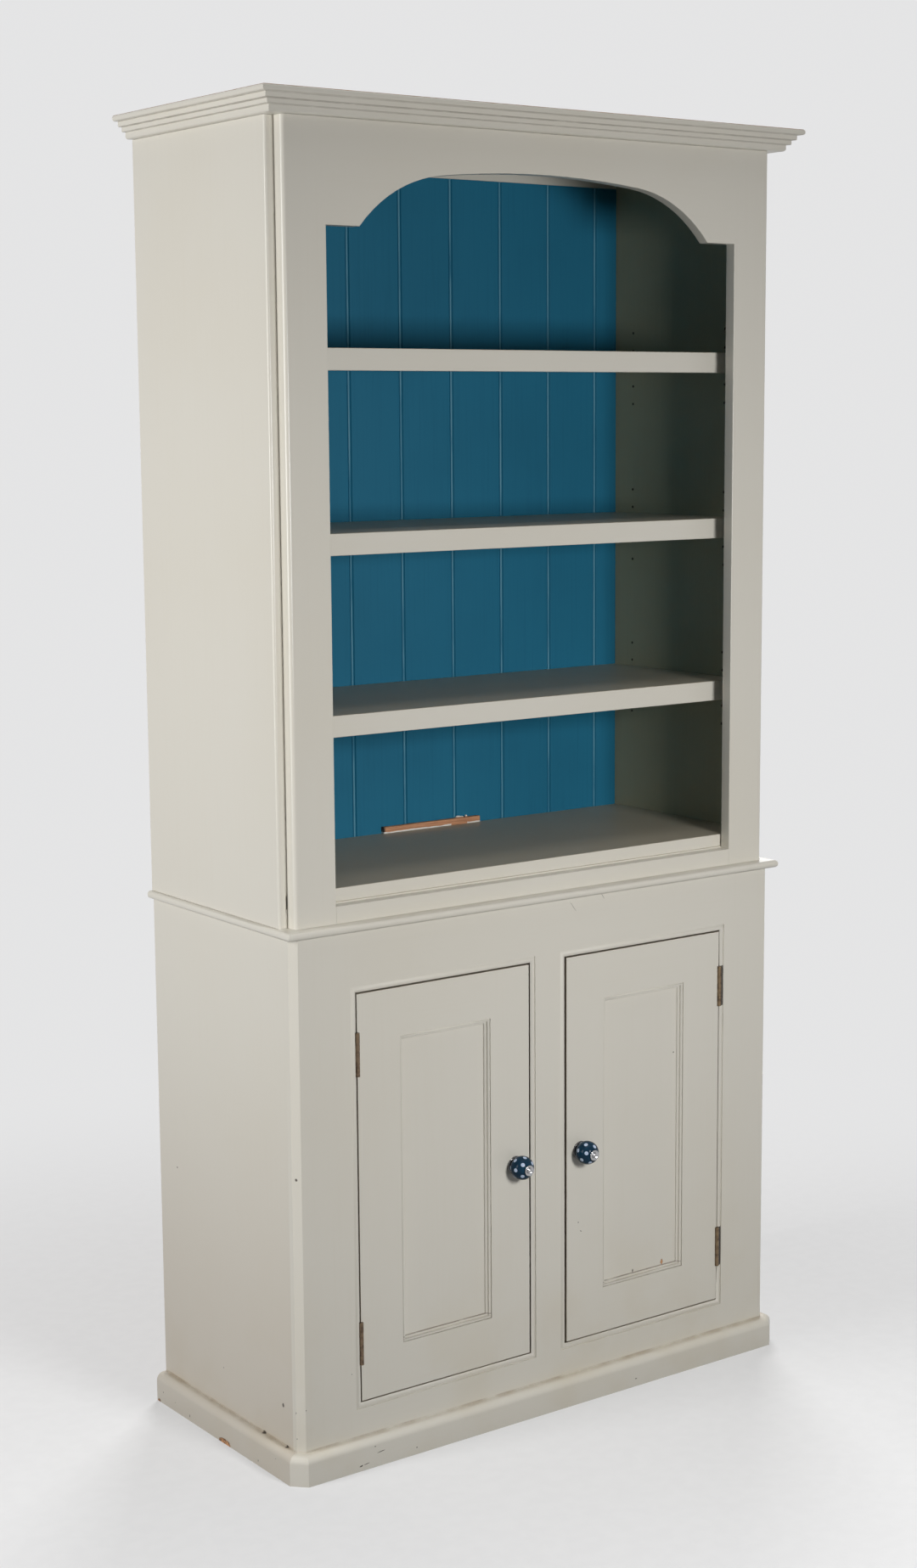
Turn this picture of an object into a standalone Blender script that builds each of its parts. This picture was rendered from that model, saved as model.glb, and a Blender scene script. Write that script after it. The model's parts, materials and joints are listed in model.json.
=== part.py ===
import math

import bmesh
import bpy
from mathutils import Matrix, Vector

for old_object in list(bpy.data.objects):
    bpy.data.objects.remove(old_object, do_unlink=True)

# Driving dimensions in metres. A depth is measured back from the face of the cupboard frame.
CLEARANCE = 0.0003

# Cupboard case
CASE_WIDTH = 1.000
CASE_DEPTH = 0.434
CUPBOARD_HEIGHT = 0.882
BOARD = 0.019
FRAME_THICKNESS = 0.021
CORNER_SPLAY = 0.011
HOUSING_DEPTH = 0.006
CUPBOARD_BACK_THICKNESS = 0.009
CUPBOARD_BACK_REBATE = 0.009
CUPBOARD_SHELF_HEIGHT = 0.440
CUPBOARD_SHELF_SETBACK = 0.060

# Door openings, by the width of frame round them, and the beads that line them
OPENING_FROM_SIDE = 0.117
OPENING_FROM_TOP = 0.0985
OPENING_FROM_FLOOR = 0.1065
OPENING_SPACING = 0.0726
BEAD_WIDTH = 0.0095
BEAD_QUIRK = 0.0011
BEAD_PROUD = 0.0010
BEAD_SHOULDER = 0.0014

# Waist board and plinth
WAIST_THICKNESS = 0.0135
WAIST_OVERHANG = 0.011
WAIST_NOSE_FLAT = 0.001
PLINTH_HEIGHT = 0.049
PLINTH_PROJECTION = 0.0178
PLINTH_ROUND = 0.013

# Doors
DOOR_GAP = 0.0024
DOOR_STILE = 0.081
DOOR_RAIL = 0.0796
PANEL_RECESS = 0.0085
PANEL_THICKNESS = 0.007
PANEL_TONGUE = 0.008
MOULDING_WIDTH = 0.0085
MOULDING_CROWN_DROP = 0.0006
MOULDING_QUIRK_DROP = 0.0021

# Butt hinges
HINGE_LENGTH = 0.071
HINGE_INSET = 0.100
HINGE_MIDDLE = 0.036
KNUCKLE_RADIUS = 0.0035
HINGE_PIN_RADIUS = 0.0015
HINGE_PIN_FORWARD = 0.0015
HINGE_BORE_CLEARANCE = 0.00015
KNUCKLE_CLEARANCE = 0.0004
LEAF_THICKNESS = 0.0016
LEAF_DEPTH = 0.018

# Knobs
KNOB_FROM_EDGE = 0.0306
KNOB_BELOW_MIDDLE = 0.0016
ROSE_RADIUS = 0.0158
ROSE_FLAT_RADIUS = 0.0110
ROSE_THICKNESS = 0.0050
BALL_RADIUS = 0.0200
BALL_REAR_SEAT = 0.0148
BALL_FRONT_SEAT = 0.0095
CAP_RADIUS = 0.0090
CAP_SEAT_RADIUS = 0.0070
CAP_THICKNESS = 0.0030
CAP_RIM = 0.0010
CAP_CUP = 0.0012
CAP_DOME = 0.0018
CAP_DOME_RADIUS = 0.0036
KNOB_SCREW_RADIUS = 0.0020
KNOB_SCREW_BITE = 0.016

# Door catch
CATCH_HEIGHT = 0.030
CATCH_THICKNESS = 0.012
CATCH_LAP = 0.012
CATCH_BELOW_TOP = 0.018

# Bookcase case
UPPER_STEP = 0.003
UPPER_SETBACK = 0.009
UPPER_BACK_STEP = 0.002
BOOKCASE_HEIGHT = 1.2235
UPPER_FRAME_INSET = 0.016
UPPER_STILE = 0.076
STILE_ROUND = 0.006
SIDE_ROUND = 0.004
BOTTOM_RAIL_HEIGHT = 0.028
BOOKCASE_FLOOR_RISE = 0.0515
BOOKCASE_FLOOR_THICKNESS = 0.0265
FLOOR_LEDGE = 0.003
FLOOR_LEDGE_HEIGHT = 0.0055

# Arched frieze
FRIEZE_CROWN = 0.064
ARCH_RISE = 0.0930
ARCH_SHOULDER = 0.061
ARCH_CROWN_RADIUS = 1.770
ARCH_CROWN_HALF = 0.197

# Back of the bookcase
BACK_THICKNESS = 0.016
BACK_REBATE = 0.009
BACK_RAIL_HEIGHT = 0.032
BACK_RAIL_THICKNESS = 0.022
BACK_BOARD_PITCH = 0.1085
BACK_GROOVE_WIDTH = 0.006
BACK_GROOVE_DEPTH = 0.003
BATTEN_LENGTH = 0.211
BATTEN_HEIGHT = 0.0125
BATTEN_THICKNESS = 0.009
BATTEN_OFFSET = 0.0525

# Shelves and their pins
SHELF_FIRST_RISE = 0.268
SHELF_SPACING = 0.284
SHELF_THICKNESS = 0.0185
SHELF_LIP_HEIGHT = 0.0345
SHELF_LIP_THICKNESS = 0.018
SHELF_SETBACK = 0.061
SHELF_END_CLEARANCE = 0.0008
SHELF_PIN_RADIUS = 0.0025
SHELF_PIN_LENGTH = 0.009
SHELF_PIN_FROM_EDGE = 0.050
SHELF_HOLE_PITCH = 0.032
SHELF_HOLE_DEPTH = 0.010
SHELF_HOLES_EACH_WAY = 2

# Cornice, from the bed mould up: the height of each member, and how far it stands out
CORNICE_BED_HEIGHT = 0.0107
CORNICE_BED_REACH = 0.0120
CORNICE_BED_ROUND = 0.0045
CORNICE_LOWER_HEIGHT = 0.0075
CORNICE_LOWER_REACH = 0.0185
CORNICE_UPPER_HEIGHT = 0.0082
CORNICE_UPPER_REACH = 0.0250
CORNICE_STEP_ROUND = 0.0016
CORNICE_NOSE_HEIGHT = 0.0096
CORNICE_NOSE_REACH = 0.0350
CORNICE_NOSE_ROUND = 0.0042

# Faceting of round forms
ARC_STEPS = 5
ROUND_SIDES = 24
PIN_SIDES = 12

# Sizes worked out from the driving dimensions
knob_ball_start = ROSE_THICKNESS + CLEARANCE
knob_ball_middle = knob_ball_start + math.sqrt(BALL_RADIUS ** 2 - BALL_REAR_SEAT ** 2)
knob_ball_end = knob_ball_middle + math.sqrt(BALL_RADIUS ** 2 - BALL_FRONT_SEAT ** 2)
knob_cap_start = knob_ball_end + CLEARANCE
knob_reach = knob_cap_start + CAP_THICKNESS + CAP_DOME
case_half = CASE_WIDTH / 2
case_inside = case_half - BOARD
upper_half = case_half + UPPER_STEP
upper_inside = upper_half - BOARD
upper_depth = CASE_DEPTH - UPPER_BACK_STEP
back_setback = upper_depth - BACK_RAIL_THICKNESS
opening_inner = OPENING_SPACING / 2
opening_outer = case_half - OPENING_FROM_SIDE
opening_width = opening_outer - opening_inner
opening_bottom = OPENING_FROM_FLOOR
opening_top = CUPBOARD_HEIGHT - OPENING_FROM_TOP
opening_height = opening_top - opening_bottom
opening_middle_z = (opening_bottom + opening_top) / 2
cupboard_floor_top = opening_bottom - BEAD_WIDTH
waist_top = CUPBOARD_HEIGHT + WAIST_THICKNESS
cornice_base = waist_top + BOOKCASE_HEIGHT
bookcase_floor_top = waist_top + BOOKCASE_FLOOR_RISE
upper_frame_half = upper_half - UPPER_FRAME_INSET
arch_half = upper_frame_half - UPPER_STILE
upper_frame_back = UPPER_SETBACK + FRAME_THICKNESS
back_rail_bottom = cornice_base - BACK_RAIL_HEIGHT
hinge_x = opening_outer - DOOR_GAP / 2
hinge_heights = {"upper": opening_top - HINGE_INSET, "lower": opening_bottom + HINGE_INSET}
first_shelf_top = bookcase_floor_top + SHELF_FIRST_RISE
shelf_tops = {
    "shelf_lower": first_shelf_top,
    "shelf_middle": first_shelf_top + SHELF_SPACING,
    "shelf_upper": first_shelf_top + SHELF_SPACING * 2,
}
sides = {"left": -1, "right": 1}

# The origin is on the floor, in the middle of the box around the whole object.
face_y = (knob_reach - CASE_DEPTH) / 2


def at(depth):
    return face_y + depth


parts = bpy.data.collections.new("bookcase_cabinet")
cutters = bpy.data.collections.new("cutters")
bpy.context.scene.collection.children.link(parts)
bpy.context.scene.collection.children.link(cutters)


# Finishes: colour, roughness and metallic value
cream_paint = ((0.60, 0.57, 0.49), 0.45, 0.0)
teal_paint = ((0.015, 0.13, 0.20), 0.50, 0.0)
raw_wood = ((0.42, 0.22, 0.11), 0.70, 0.0)
bare_board = ((0.45, 0.34, 0.22), 0.75, 0.0)
brass = ((0.42, 0.30, 0.14), 0.40, 1.0)
chrome = ((0.80, 0.80, 0.80), 0.12, 1.0)
ceramic = ((0.010, 0.060, 0.110), 0.15, 0.0)
steel = ((0.55, 0.55, 0.55), 0.35, 1.0)

pivots = {}


def place(obj, origin, finish, pivot):
    """Puts a piece in its collection, under its pivot if it moves. A piece with no finish is a cutter."""
    collection = parts if finish else cutters
    collection.objects.link(obj)
    obj.location = origin
    if pivot:
        obj.parent = pivots[pivot]
        obj.location = Vector(origin) - pivots[pivot].location
    if not finish:
        obj.hide_render = True
        obj.display_type = "WIRE"
        return
    colour, roughness, metallic = finish
    material = bpy.data.materials.new(obj.name)
    material.use_nodes = True
    shader = material.node_tree.nodes["Principled BSDF"]
    shader.inputs["Base Color"].default_value = (*colour, 1.0)
    shader.inputs["Roughness"].default_value = roughness
    shader.inputs["Metallic"].default_value = metallic
    obj.data.materials.append(material)


def solid(name, bm, finish, pivot=None):
    """Turns a bmesh in world coordinates into a named piece whose origin is at the middle of its box."""
    bmesh.ops.recalc_face_normals(bm, faces=bm.faces)
    points = [vert.co for vert in bm.verts]
    low = Vector(min(point[axis] for point in points) for axis in range(3))
    high = Vector(max(point[axis] for point in points) for axis in range(3))
    middle = (low + high) / 2
    bmesh.ops.translate(bm, verts=bm.verts, vec=-middle)
    mesh = bpy.data.meshes.new(name)
    bm.to_mesh(mesh)
    bm.free()
    mesh.shade_smooth()
    mesh.set_sharp_from_angle(angle=math.radians(40))
    obj = bpy.data.objects.new(name, mesh)
    place(obj, middle, finish, pivot)
    return obj


def block(low, high):
    bm = bmesh.new()
    bmesh.ops.create_cube(bm, size=1.0)
    bmesh.ops.scale(bm, verts=bm.verts, vec=[top - bottom for bottom, top in zip(low, high)])
    bmesh.ops.translate(bm, verts=bm.verts, vec=[(top + bottom) / 2 for bottom, top in zip(low, high)])
    return bm


def board(name, xs, depths, zs, finish=cream_paint, pivot=None):
    low = (min(xs), at(min(depths)), min(zs))
    high = (max(xs), at(max(depths)), max(zs))
    return solid(name, block(low, high), finish, pivot)


# How a flat outline and its thickness turn to run along each axis
run_along = {
    "X": Matrix(((0, 0, 1), (1, 0, 0), (0, 1, 0))),
    "Y": Matrix(((1, 0, 0), (0, 0, 1), (0, 1, 0))),
    "Z": Matrix.Identity(3),
}


def extruded(outline, start, end, axis):
    """Draws a flat outline as a filled curve, thick along one axis. Points hold the other two coordinates."""
    curve = bpy.data.curves.new("outline", "CURVE")
    curve.dimensions = "2D"
    curve.fill_mode = "BOTH"
    curve.extrude = abs(end - start) / 2
    spline = curve.splines.new("POLY")
    spline.points.add(len(outline) - 1)
    for point, (across, up) in zip(spline.points, outline):
        point.co = (across, up, 0.0, 1.0)
    spline.use_cyclic_u = True
    drawn = bpy.data.objects.new("outline", curve)
    cutters.objects.link(drawn)
    depsgraph = bpy.context.evaluated_depsgraph_get()
    mesh = bpy.data.meshes.new_from_object(drawn.evaluated_get(depsgraph))
    bpy.data.objects.remove(drawn)
    bm = bmesh.new()
    bm.from_mesh(mesh)
    bpy.data.meshes.remove(mesh)
    bmesh.ops.remove_doubles(bm, verts=bm.verts, dist=0.00001)
    turn = run_along[axis]
    bmesh.ops.transform(bm, matrix=turn.to_4x4(), verts=bm.verts)
    bmesh.ops.translate(bm, verts=bm.verts, vec=turn @ Vector((0.0, 0.0, (start + end) / 2)))
    return bm


def oval(centre, across, up, start, end, steps=ARC_STEPS):
    angles = [math.radians(start + (end - start) * step / steps) for step in range(steps + 1)]
    return [(centre[0] + across * math.cos(a), centre[1] + up * math.sin(a)) for a in angles]


def arc(centre, radius, start, end, steps=ARC_STEPS):
    return oval(centre, radius, radius, start, end, steps)


def turned(name, profile, origin, finish, pivot=None, facing_front=True, facets=ROUND_SIDES):
    """A profile of (radius, height) points, outer side running down, spun about its axis."""
    mesh = bpy.data.meshes.new(name)
    closed = all(radius > 0 for radius, height in profile)
    edges = [(index, index + 1) for index in range(len(profile) - 1)]
    if closed:
        edges.append((len(profile) - 1, 0))
    mesh.from_pydata([(radius, 0.0, height) for radius, height in profile], edges, [])
    obj = bpy.data.objects.new(name, mesh)
    spin = obj.modifiers.new("spin", "SCREW")
    spin.steps = facets
    spin.render_steps = facets
    spin.use_merge_vertices = True
    spin.merge_threshold = 0.00002
    spin.use_smooth_shade = True
    place(obj, origin, finish, pivot)
    if facing_front:
        obj.rotation_euler.x = math.pi / 2
    return obj


def boolean(obj, other, operation="DIFFERENCE"):
    modifier = obj.modifiers.new(operation.lower() + "_" + other.name, "BOOLEAN")
    modifier.operation = operation
    modifier.object = other


def run_of_moulding(names, path, section, finish):
    """Mitred moulding round a plan path. Each stretch has the name of the piece that it belongs to."""
    normals = []
    for first, second in zip(path, path[1:]):
        run = (Vector(second) - Vector(first)).normalized()
        normals.append(Vector((run.y, -run.x)))
    mitres = [normals[0]]
    for before, after in zip(normals, normals[1:]):
        mitres.append((before + after) / (1 + before.dot(after)))
    mitres.append(normals[-1])

    for name in dict.fromkeys(names):
        first = names.index(name)
        last = first + names.count(name)
        stations = []
        for index in range(first, last + 1):
            corner = Vector(path[index])
            # Each end at a joint is cut back a little, so that neighbours keep their clearance.
            if index == first and index > 0:
                corner += (Vector(path[index + 1]) - corner).normalized() * CLEARANCE
            if index == last and index < len(path) - 1:
                corner += (Vector(path[index - 1]) - corner).normalized() * CLEARANCE
            plan = [corner + mitres[index] * (out + CLEARANCE) for out, height in section]
            stations.append([(*spot, height) for spot, (out, height) in zip(plan, section)])
        bm = bmesh.new()
        face = bm.faces.new([bm.verts.new(point) for point in stations[0]])
        for before, after in zip(stations, stations[1:]):
            targets = {Vector(point).to_tuple(6): goal for point, goal in zip(before, after)}
            grown = bmesh.ops.extrude_face_region(bm, geom=[face])
            if before is not stations[0]:
                bmesh.ops.delete(bm, geom=[face], context="FACES_ONLY")
            face = next(item for item in grown["geom"] if isinstance(item, bmesh.types.BMFace))
            for vert in face.verts:
                vert.co = targets[vert.co.to_tuple(6)]
        solid(name, bm, finish)


def mitred_frame(middle_x, middle_z, half_width, half_height, section):
    """A closed rectangular moulding. Its section is (outward, forward of the cupboard face) points."""
    corners = ((-1, -1), (1, -1), (1, 1), (-1, 1))

    def corner_point(sign, out, forward):
        x = middle_x + sign[0] * (half_width + out)
        z = middle_z + sign[1] * (half_height + out)
        return (x, at(-forward), z)

    bm = bmesh.new()
    verts = [bm.verts.new(corner_point(sign, *section[0])) for sign in corners]
    edges = [bm.edges.new(pair) for pair in zip(verts, verts[1:] + verts[:1])]
    for out, forward in section[1:] + section[:1]:
        grown = bmesh.ops.extrude_edge_only(bm, edges=edges)["geom"]
        fresh = {item for item in grown if isinstance(item, bmesh.types.BMVert)}
        edges = [item for item in grown if isinstance(item, bmesh.types.BMEdge) and set(item.verts) <= fresh]
        for vert in fresh:
            sign = (1 if vert.co.x > middle_x else -1, 1 if vert.co.z > middle_z else -1)
            vert.co = corner_point(sign, out, forward)
    bmesh.ops.remove_doubles(bm, verts=bm.verts, dist=0.00001)
    return bm


def side_outline(outer, inner, front, back, rebate_width, rebate_depth, sign, front_round=0.0):
    """Plan of a side panel: a rebate for the back inside its rear edge, and an eased outer front edge."""
    outline = [(inner, at(front))]
    if front_round:
        outline += arc((outer - front_round, at(front + front_round)), front_round, -90, 0)
    else:
        outline.append((outer, at(front)))
    outline += [(outer, at(back)), (inner + rebate_width, at(back))]
    outline += [(inner + rebate_width, at(back - rebate_depth)), (inner, at(back - rebate_depth))]
    return [(sign * x, y) for x, y in outline]


def housing_cutter(name, inside, sign, depths, zs):
    """The slot that lets the end of a board into a side panel."""
    xs = (sign * (inside - HOUSING_DEPTH), sign * (inside + HOUSING_DEPTH))
    spare = [min(depths) - CLEARANCE, max(depths) + CLEARANCE]
    return board(name, xs, spare, (min(zs) - CLEARANCE, max(zs) + CLEARANCE), None)


# Cupboard carcass
cupboard_back_front = CASE_DEPTH - CUPBOARD_BACK_THICKNESS
cupboard_board_depths = (FRAME_THICKNESS + CLEARANCE, cupboard_back_front - CLEARANCE)
cupboard_floor_zs = (cupboard_floor_top - BOARD, cupboard_floor_top)
cupboard_shelf_depths = (CUPBOARD_SHELF_SETBACK, cupboard_back_front - CLEARANCE)
cupboard_shelf_zs = (CUPBOARD_SHELF_HEIGHT - BOARD, CUPBOARD_SHELF_HEIGHT)
housed_half = case_inside + HOUSING_DEPTH - CLEARANCE

for side, sign in sides.items():
    plan = side_outline(
        case_half,
        case_inside,
        FRAME_THICKNESS + CLEARANCE,
        CASE_DEPTH,
        CUPBOARD_BACK_REBATE,
        CUPBOARD_BACK_THICKNESS + CLEARANCE,
        sign,
    )
    panel = solid("cupboard_side_" + side, extruded(plan, 0.0, CUPBOARD_HEIGHT, "Z"), cream_paint)
    for housed, depths, zs in (
        ("floor", cupboard_board_depths, cupboard_floor_zs),
        ("shelf", cupboard_shelf_depths, cupboard_shelf_zs),
    ):
        boolean(panel, housing_cutter(f"housing_{housed}_{side}", case_inside, sign, depths, zs))

board("cupboard_floor", (-housed_half, housed_half), cupboard_board_depths, cupboard_floor_zs)
board("cupboard_shelf", (-housed_half, housed_half), cupboard_shelf_depths, cupboard_shelf_zs)
cupboard_back_half = case_inside + CUPBOARD_BACK_REBATE - CLEARANCE
board(
    "cupboard_back",
    (-cupboard_back_half, cupboard_back_half),
    (cupboard_back_front, CASE_DEPTH),
    (0.0, CUPBOARD_HEIGHT),
    bare_board,
)

# Cupboard face frame
stile_inner = opening_outer + BEAD_WIDTH + CLEARANCE
rail_half = stile_inner - CLEARANCE
bottom_rail_top = opening_bottom - BEAD_WIDTH - CLEARANCE
top_rail_bottom = opening_top + BEAD_WIDTH + CLEARANCE
muntin_half = opening_inner - BEAD_WIDTH - CLEARANCE
frame_depths = (0.0, FRAME_THICKNESS)

for side, sign in sides.items():
    plan = [
        (stile_inner, at(0.0)),
        (case_half - CORNER_SPLAY, at(0.0)),
        (case_half, at(CORNER_SPLAY)),
        (case_half, at(FRAME_THICKNESS)),
        (stile_inner, at(FRAME_THICKNESS)),
    ]
    plan = [(sign * x, y) for x, y in plan]
    solid("cupboard_stile_" + side, extruded(plan, 0.0, CUPBOARD_HEIGHT, "Z"), cream_paint)

board("cupboard_bottom_rail", (-rail_half, rail_half), frame_depths, (0.0, bottom_rail_top))
board("cupboard_top_rail", (-rail_half, rail_half), frame_depths, (top_rail_bottom, CUPBOARD_HEIGHT))
muntin_zs = (bottom_rail_top + CLEARANCE, top_rail_bottom - CLEARANCE)
board("cupboard_muntin", (-muntin_half, muntin_half), frame_depths, muntin_zs)

# Waist board: the nose is rounded over on the front and both ends
waist_half = case_half + WAIST_OVERHANG
waist_front = at(-WAIST_OVERHANG)
waist_zs = (CUPBOARD_HEIGHT + CLEARANCE, waist_top)
waist = block((-waist_half, waist_front, waist_zs[0]), (waist_half, at(CASE_DEPTH), waist_zs[1]))
nose_edges = []
for edge in waist.edges:
    ends = [vert.co for vert in edge.verts]
    is_level = abs(ends[0].z - ends[1].z) < CLEARANCE
    if is_level and min(end.y for end in ends) < at(CASE_DEPTH) - CLEARANCE:
        nose_edges.append(edge)
bmesh.ops.bevel(
    waist,
    geom=nose_edges,
    offset=(waist_zs[1] - waist_zs[0] - WAIST_NOSE_FLAT) / 2,
    offset_type="OFFSET",
    affect="EDGES",
    segments=ARC_STEPS,
    profile=0.5,
    material=-1,
)
solid("waist_board", waist, cream_paint)

# Plinth round the splayed front corners
plinth_path = [
    (-case_half, at(CASE_DEPTH)),
    (-case_half, at(CORNER_SPLAY)),
    (-case_half + CORNER_SPLAY, at(0.0)),
    (case_half - CORNER_SPLAY, at(0.0)),
    (case_half, at(CORNER_SPLAY)),
    (case_half, at(CASE_DEPTH)),
]
plinth_section = [(0.0, 0.0), (PLINTH_PROJECTION, 0.0)]
plinth_section += arc((PLINTH_PROJECTION - PLINTH_ROUND, PLINTH_HEIGHT - PLINTH_ROUND), PLINTH_ROUND, 0, 90)
plinth_section.append((0.0, PLINTH_HEIGHT))
plinth_stretches = ["plinth_left", "plinth_front", "plinth_front", "plinth_front", "plinth_right"]
run_of_moulding(plinth_stretches, plinth_path, plinth_section, cream_paint)

# Cock beads: a strip as deep as the frame, with a crowned face and a quirk beside the frame
bead_crown = BEAD_WIDTH - BEAD_QUIRK
bead_section = [(0.0, -FRAME_THICKNESS)]
for step in range(ARC_STEPS + 2):
    across = bead_crown * step / (ARC_STEPS + 1)
    rise = math.sin(math.pi * step / (ARC_STEPS + 1))
    bead_section.append((across, -BEAD_SHOULDER + (BEAD_SHOULDER + BEAD_PROUD) * rise))
bead_section += [(BEAD_WIDTH, -BEAD_SHOULDER), (BEAD_WIDTH, -FRAME_THICKNESS)]

# Plan of a hinge's seat, behind the pin: a round notch for the knuckle and a slot for both leaves
slot_half = DOOR_GAP / 2 + LEAF_THICKNESS + CLEARANCE
notch_radius = max(KNUCKLE_RADIUS + KNUCKLE_CLEARANCE, slot_half + CLEARANCE)
slot_back = LEAF_DEPTH + HINGE_PIN_FORWARD + CLEARANCE
slot_angle = math.degrees(math.acos(slot_half / notch_radius))
seat_outline = [(slot_half, slot_back)]
seat_outline += arc((0.0, 0.0), notch_radius, slot_angle, -180 - slot_angle, 2 * ARC_STEPS)
seat_outline.append((-slot_half, slot_back))


def hinge_seat(side, level, pin_x, pin_z):
    outline = [(pin_x + x, at(y - HINGE_PIN_FORWARD)) for x, y in seat_outline]
    half = HINGE_LENGTH / 2 + CLEARANCE
    return solid(f"hinge_seat_{side}_{level}", extruded(outline, pin_z - half, pin_z + half, "Z"), None)


def leaf_plate(sign, joint, end_front, middle_front):
    """One leaf beside the pin at the origin. Its ends and its middle reach towards the pin, out to a joint."""
    half = HINGE_LENGTH / 2
    back = LEAF_DEPTH + HINGE_PIN_FORWARD
    outline = [(back, -half), (end_front, -half), (end_front, -joint), (middle_front, -joint)]
    outline += [(middle_front, joint), (end_front, joint), (end_front, half), (back, half)]
    near = sign * DOOR_GAP / 2
    return extruded(outline, near, near + sign * LEAF_THICKNESS, "X")


def hinge(side, level, sign, pin_x, pin_z):
    """A butt hinge: the frame leaf holds both end knuckles and the pin, the door leaf the middle knuckle."""
    name = f"hinge_{side}_{level}"
    origin = (pin_x, at(-HINGE_PIN_FORWARD), pin_z)
    half = HINGE_LENGTH / 2
    middle = HINGE_MIDDLE / 2
    bore = HINGE_PIN_RADIUS + HINGE_BORE_CLEARANCE

    frame_barrel = [(0.0, half), (KNUCKLE_RADIUS, half), (KNUCKLE_RADIUS, middle + CLEARANCE)]
    frame_barrel += [(HINGE_PIN_RADIUS, middle + CLEARANCE), (HINGE_PIN_RADIUS, -middle - CLEARANCE)]
    frame_barrel += [(KNUCKLE_RADIUS, -middle - CLEARANCE), (KNUCKLE_RADIUS, -half), (0.0, -half)]
    door_barrel = [(KNUCKLE_RADIUS, middle), (KNUCKLE_RADIUS, -middle), (bore, -middle), (bore, middle)]

    pieces = (
        ("frame", sign, (middle + CLEARANCE, bore, notch_radius), frame_barrel, None),
        ("door", -sign, (middle, notch_radius, bore), door_barrel, "door_" + side),
    )
    for leaf, leaf_sign, reach, profile, pivot in pieces:
        plate = leaf_plate(leaf_sign, *reach)
        bmesh.ops.translate(plate, verts=plate.verts, vec=origin)
        obj = solid(f"{name}_{leaf}_leaf", plate, brass, pivot)
        barrel = turned(f"{name}_{leaf}_barrel", profile, origin, None, None, False, PIN_SIDES)
        boolean(obj, barrel, "UNION")


# Panel moulding: two rounded steps from the door face down to the panel, with a quirk at the outer edge
step_width = (MOULDING_WIDTH - BEAD_QUIRK) / 2
step_fall = PANEL_RECESS / 2
moulding_section = [(0.0, -PANEL_RECESS + CLEARANCE)]
for inward, level in ((0.0, 1), (step_width, 0)):
    base = -step_fall * (level + 1) + CLEARANCE
    rise = step_fall - MOULDING_CROWN_DROP
    moulding_section += oval((inward + step_width, base), step_width, rise, 180, 90)[1:]
    moulding_section.append((inward + step_width, base + step_fall - MOULDING_QUIRK_DROP))
moulding_section +=[(MOULDING_WIDTH, moulding_section[-1][1]), (MOULDING_WIDTH, -PANEL_RECESS + CLEARANCE)]


def grooved(inner, outer):
    """Section of a door stile or rail: (across, y) points, with a groove for the panel in the inner edge."""
    toward = 1 if outer > inner else -1
    groove = inner + toward * (PANEL_TONGUE + CLEARANCE)
    front = PANEL_RECESS - CLEARANCE
    back = PANEL_RECESS + PANEL_THICKNESS + CLEARANCE
    corners = [(outer, 0.0), (inner, 0.0), (inner, front), (groove, front)]
    corners += [(groove, back), (inner, back), (inner, FRAME_THICKNESS), (outer, FRAME_THICKNESS)]
    return [(across, at(depth)) for across, depth in corners]


def knob(side, x, z):
    """A round knob on the door's face: its pieces are turned about one axis that points to the front."""
    origin = (x, at(0.0), z)
    pivot = "door_" + side
    bore = KNOB_SCREW_RADIUS + CLEARANCE

    rose_rim = ROSE_RADIUS - ROSE_FLAT_RADIUS
    rose = oval((ROSE_FLAT_RADIUS, CLEARANCE), rose_rim, ROSE_THICKNESS - CLEARANCE, 90, 0)
    rose = [(bore, ROSE_THICKNESS)] + rose + [(bore, CLEARANCE)]
    turned(f"knob_{side}_rose", rose, origin, chrome, pivot)

    # The ball is flat where it meets the rose and the cap.
    front_turn = math.degrees(math.acos(BALL_FRONT_SEAT / BALL_RADIUS))
    rear_turn = -math.degrees(math.acos(BALL_REAR_SEAT / BALL_RADIUS))
    ball = arc((0.0, knob_ball_middle), BALL_RADIUS, front_turn, rear_turn, 3 * ARC_STEPS)
    ball = [(bore, knob_ball_end)] + ball + [(bore, knob_ball_start)]
    turned(f"knob_{side}_ball", ball, origin, ceramic, pivot)

    # The cap is a cupped washer with the domed head of the screw in its middle.
    head_level = knob_reach - CAP_DOME
    screw = oval((0.0, head_level), CAP_DOME_RADIUS, CAP_DOME, 90, 0)
    screw[0] = (0.0, knob_reach)
    screw += [(CAP_DOME_RADIUS, head_level - CAP_CUP), (CAP_RADIUS - CAP_RIM, head_level)]
    screw += arc((CAP_RADIUS - CAP_RIM, head_level - CAP_RIM), CAP_RIM, 90, 0)[1:]
    screw += [(CAP_SEAT_RADIUS, knob_cap_start), (KNOB_SCREW_RADIUS, knob_cap_start)]
    screw += [(KNOB_SCREW_RADIUS, -KNOB_SCREW_BITE), (0.0, -KNOB_SCREW_BITE)]
    turned(f"knob_{side}_screw", screw, origin, chrome, pivot)

    hole = [(0.0, CLEARANCE), (bore, CLEARANCE), (bore, -KNOB_SCREW_BITE - CLEARANCE)]
    hole.append((0.0, -KNOB_SCREW_BITE - CLEARANCE))
    return turned(f"knob_hole_{side}", hole, origin, None)


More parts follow.
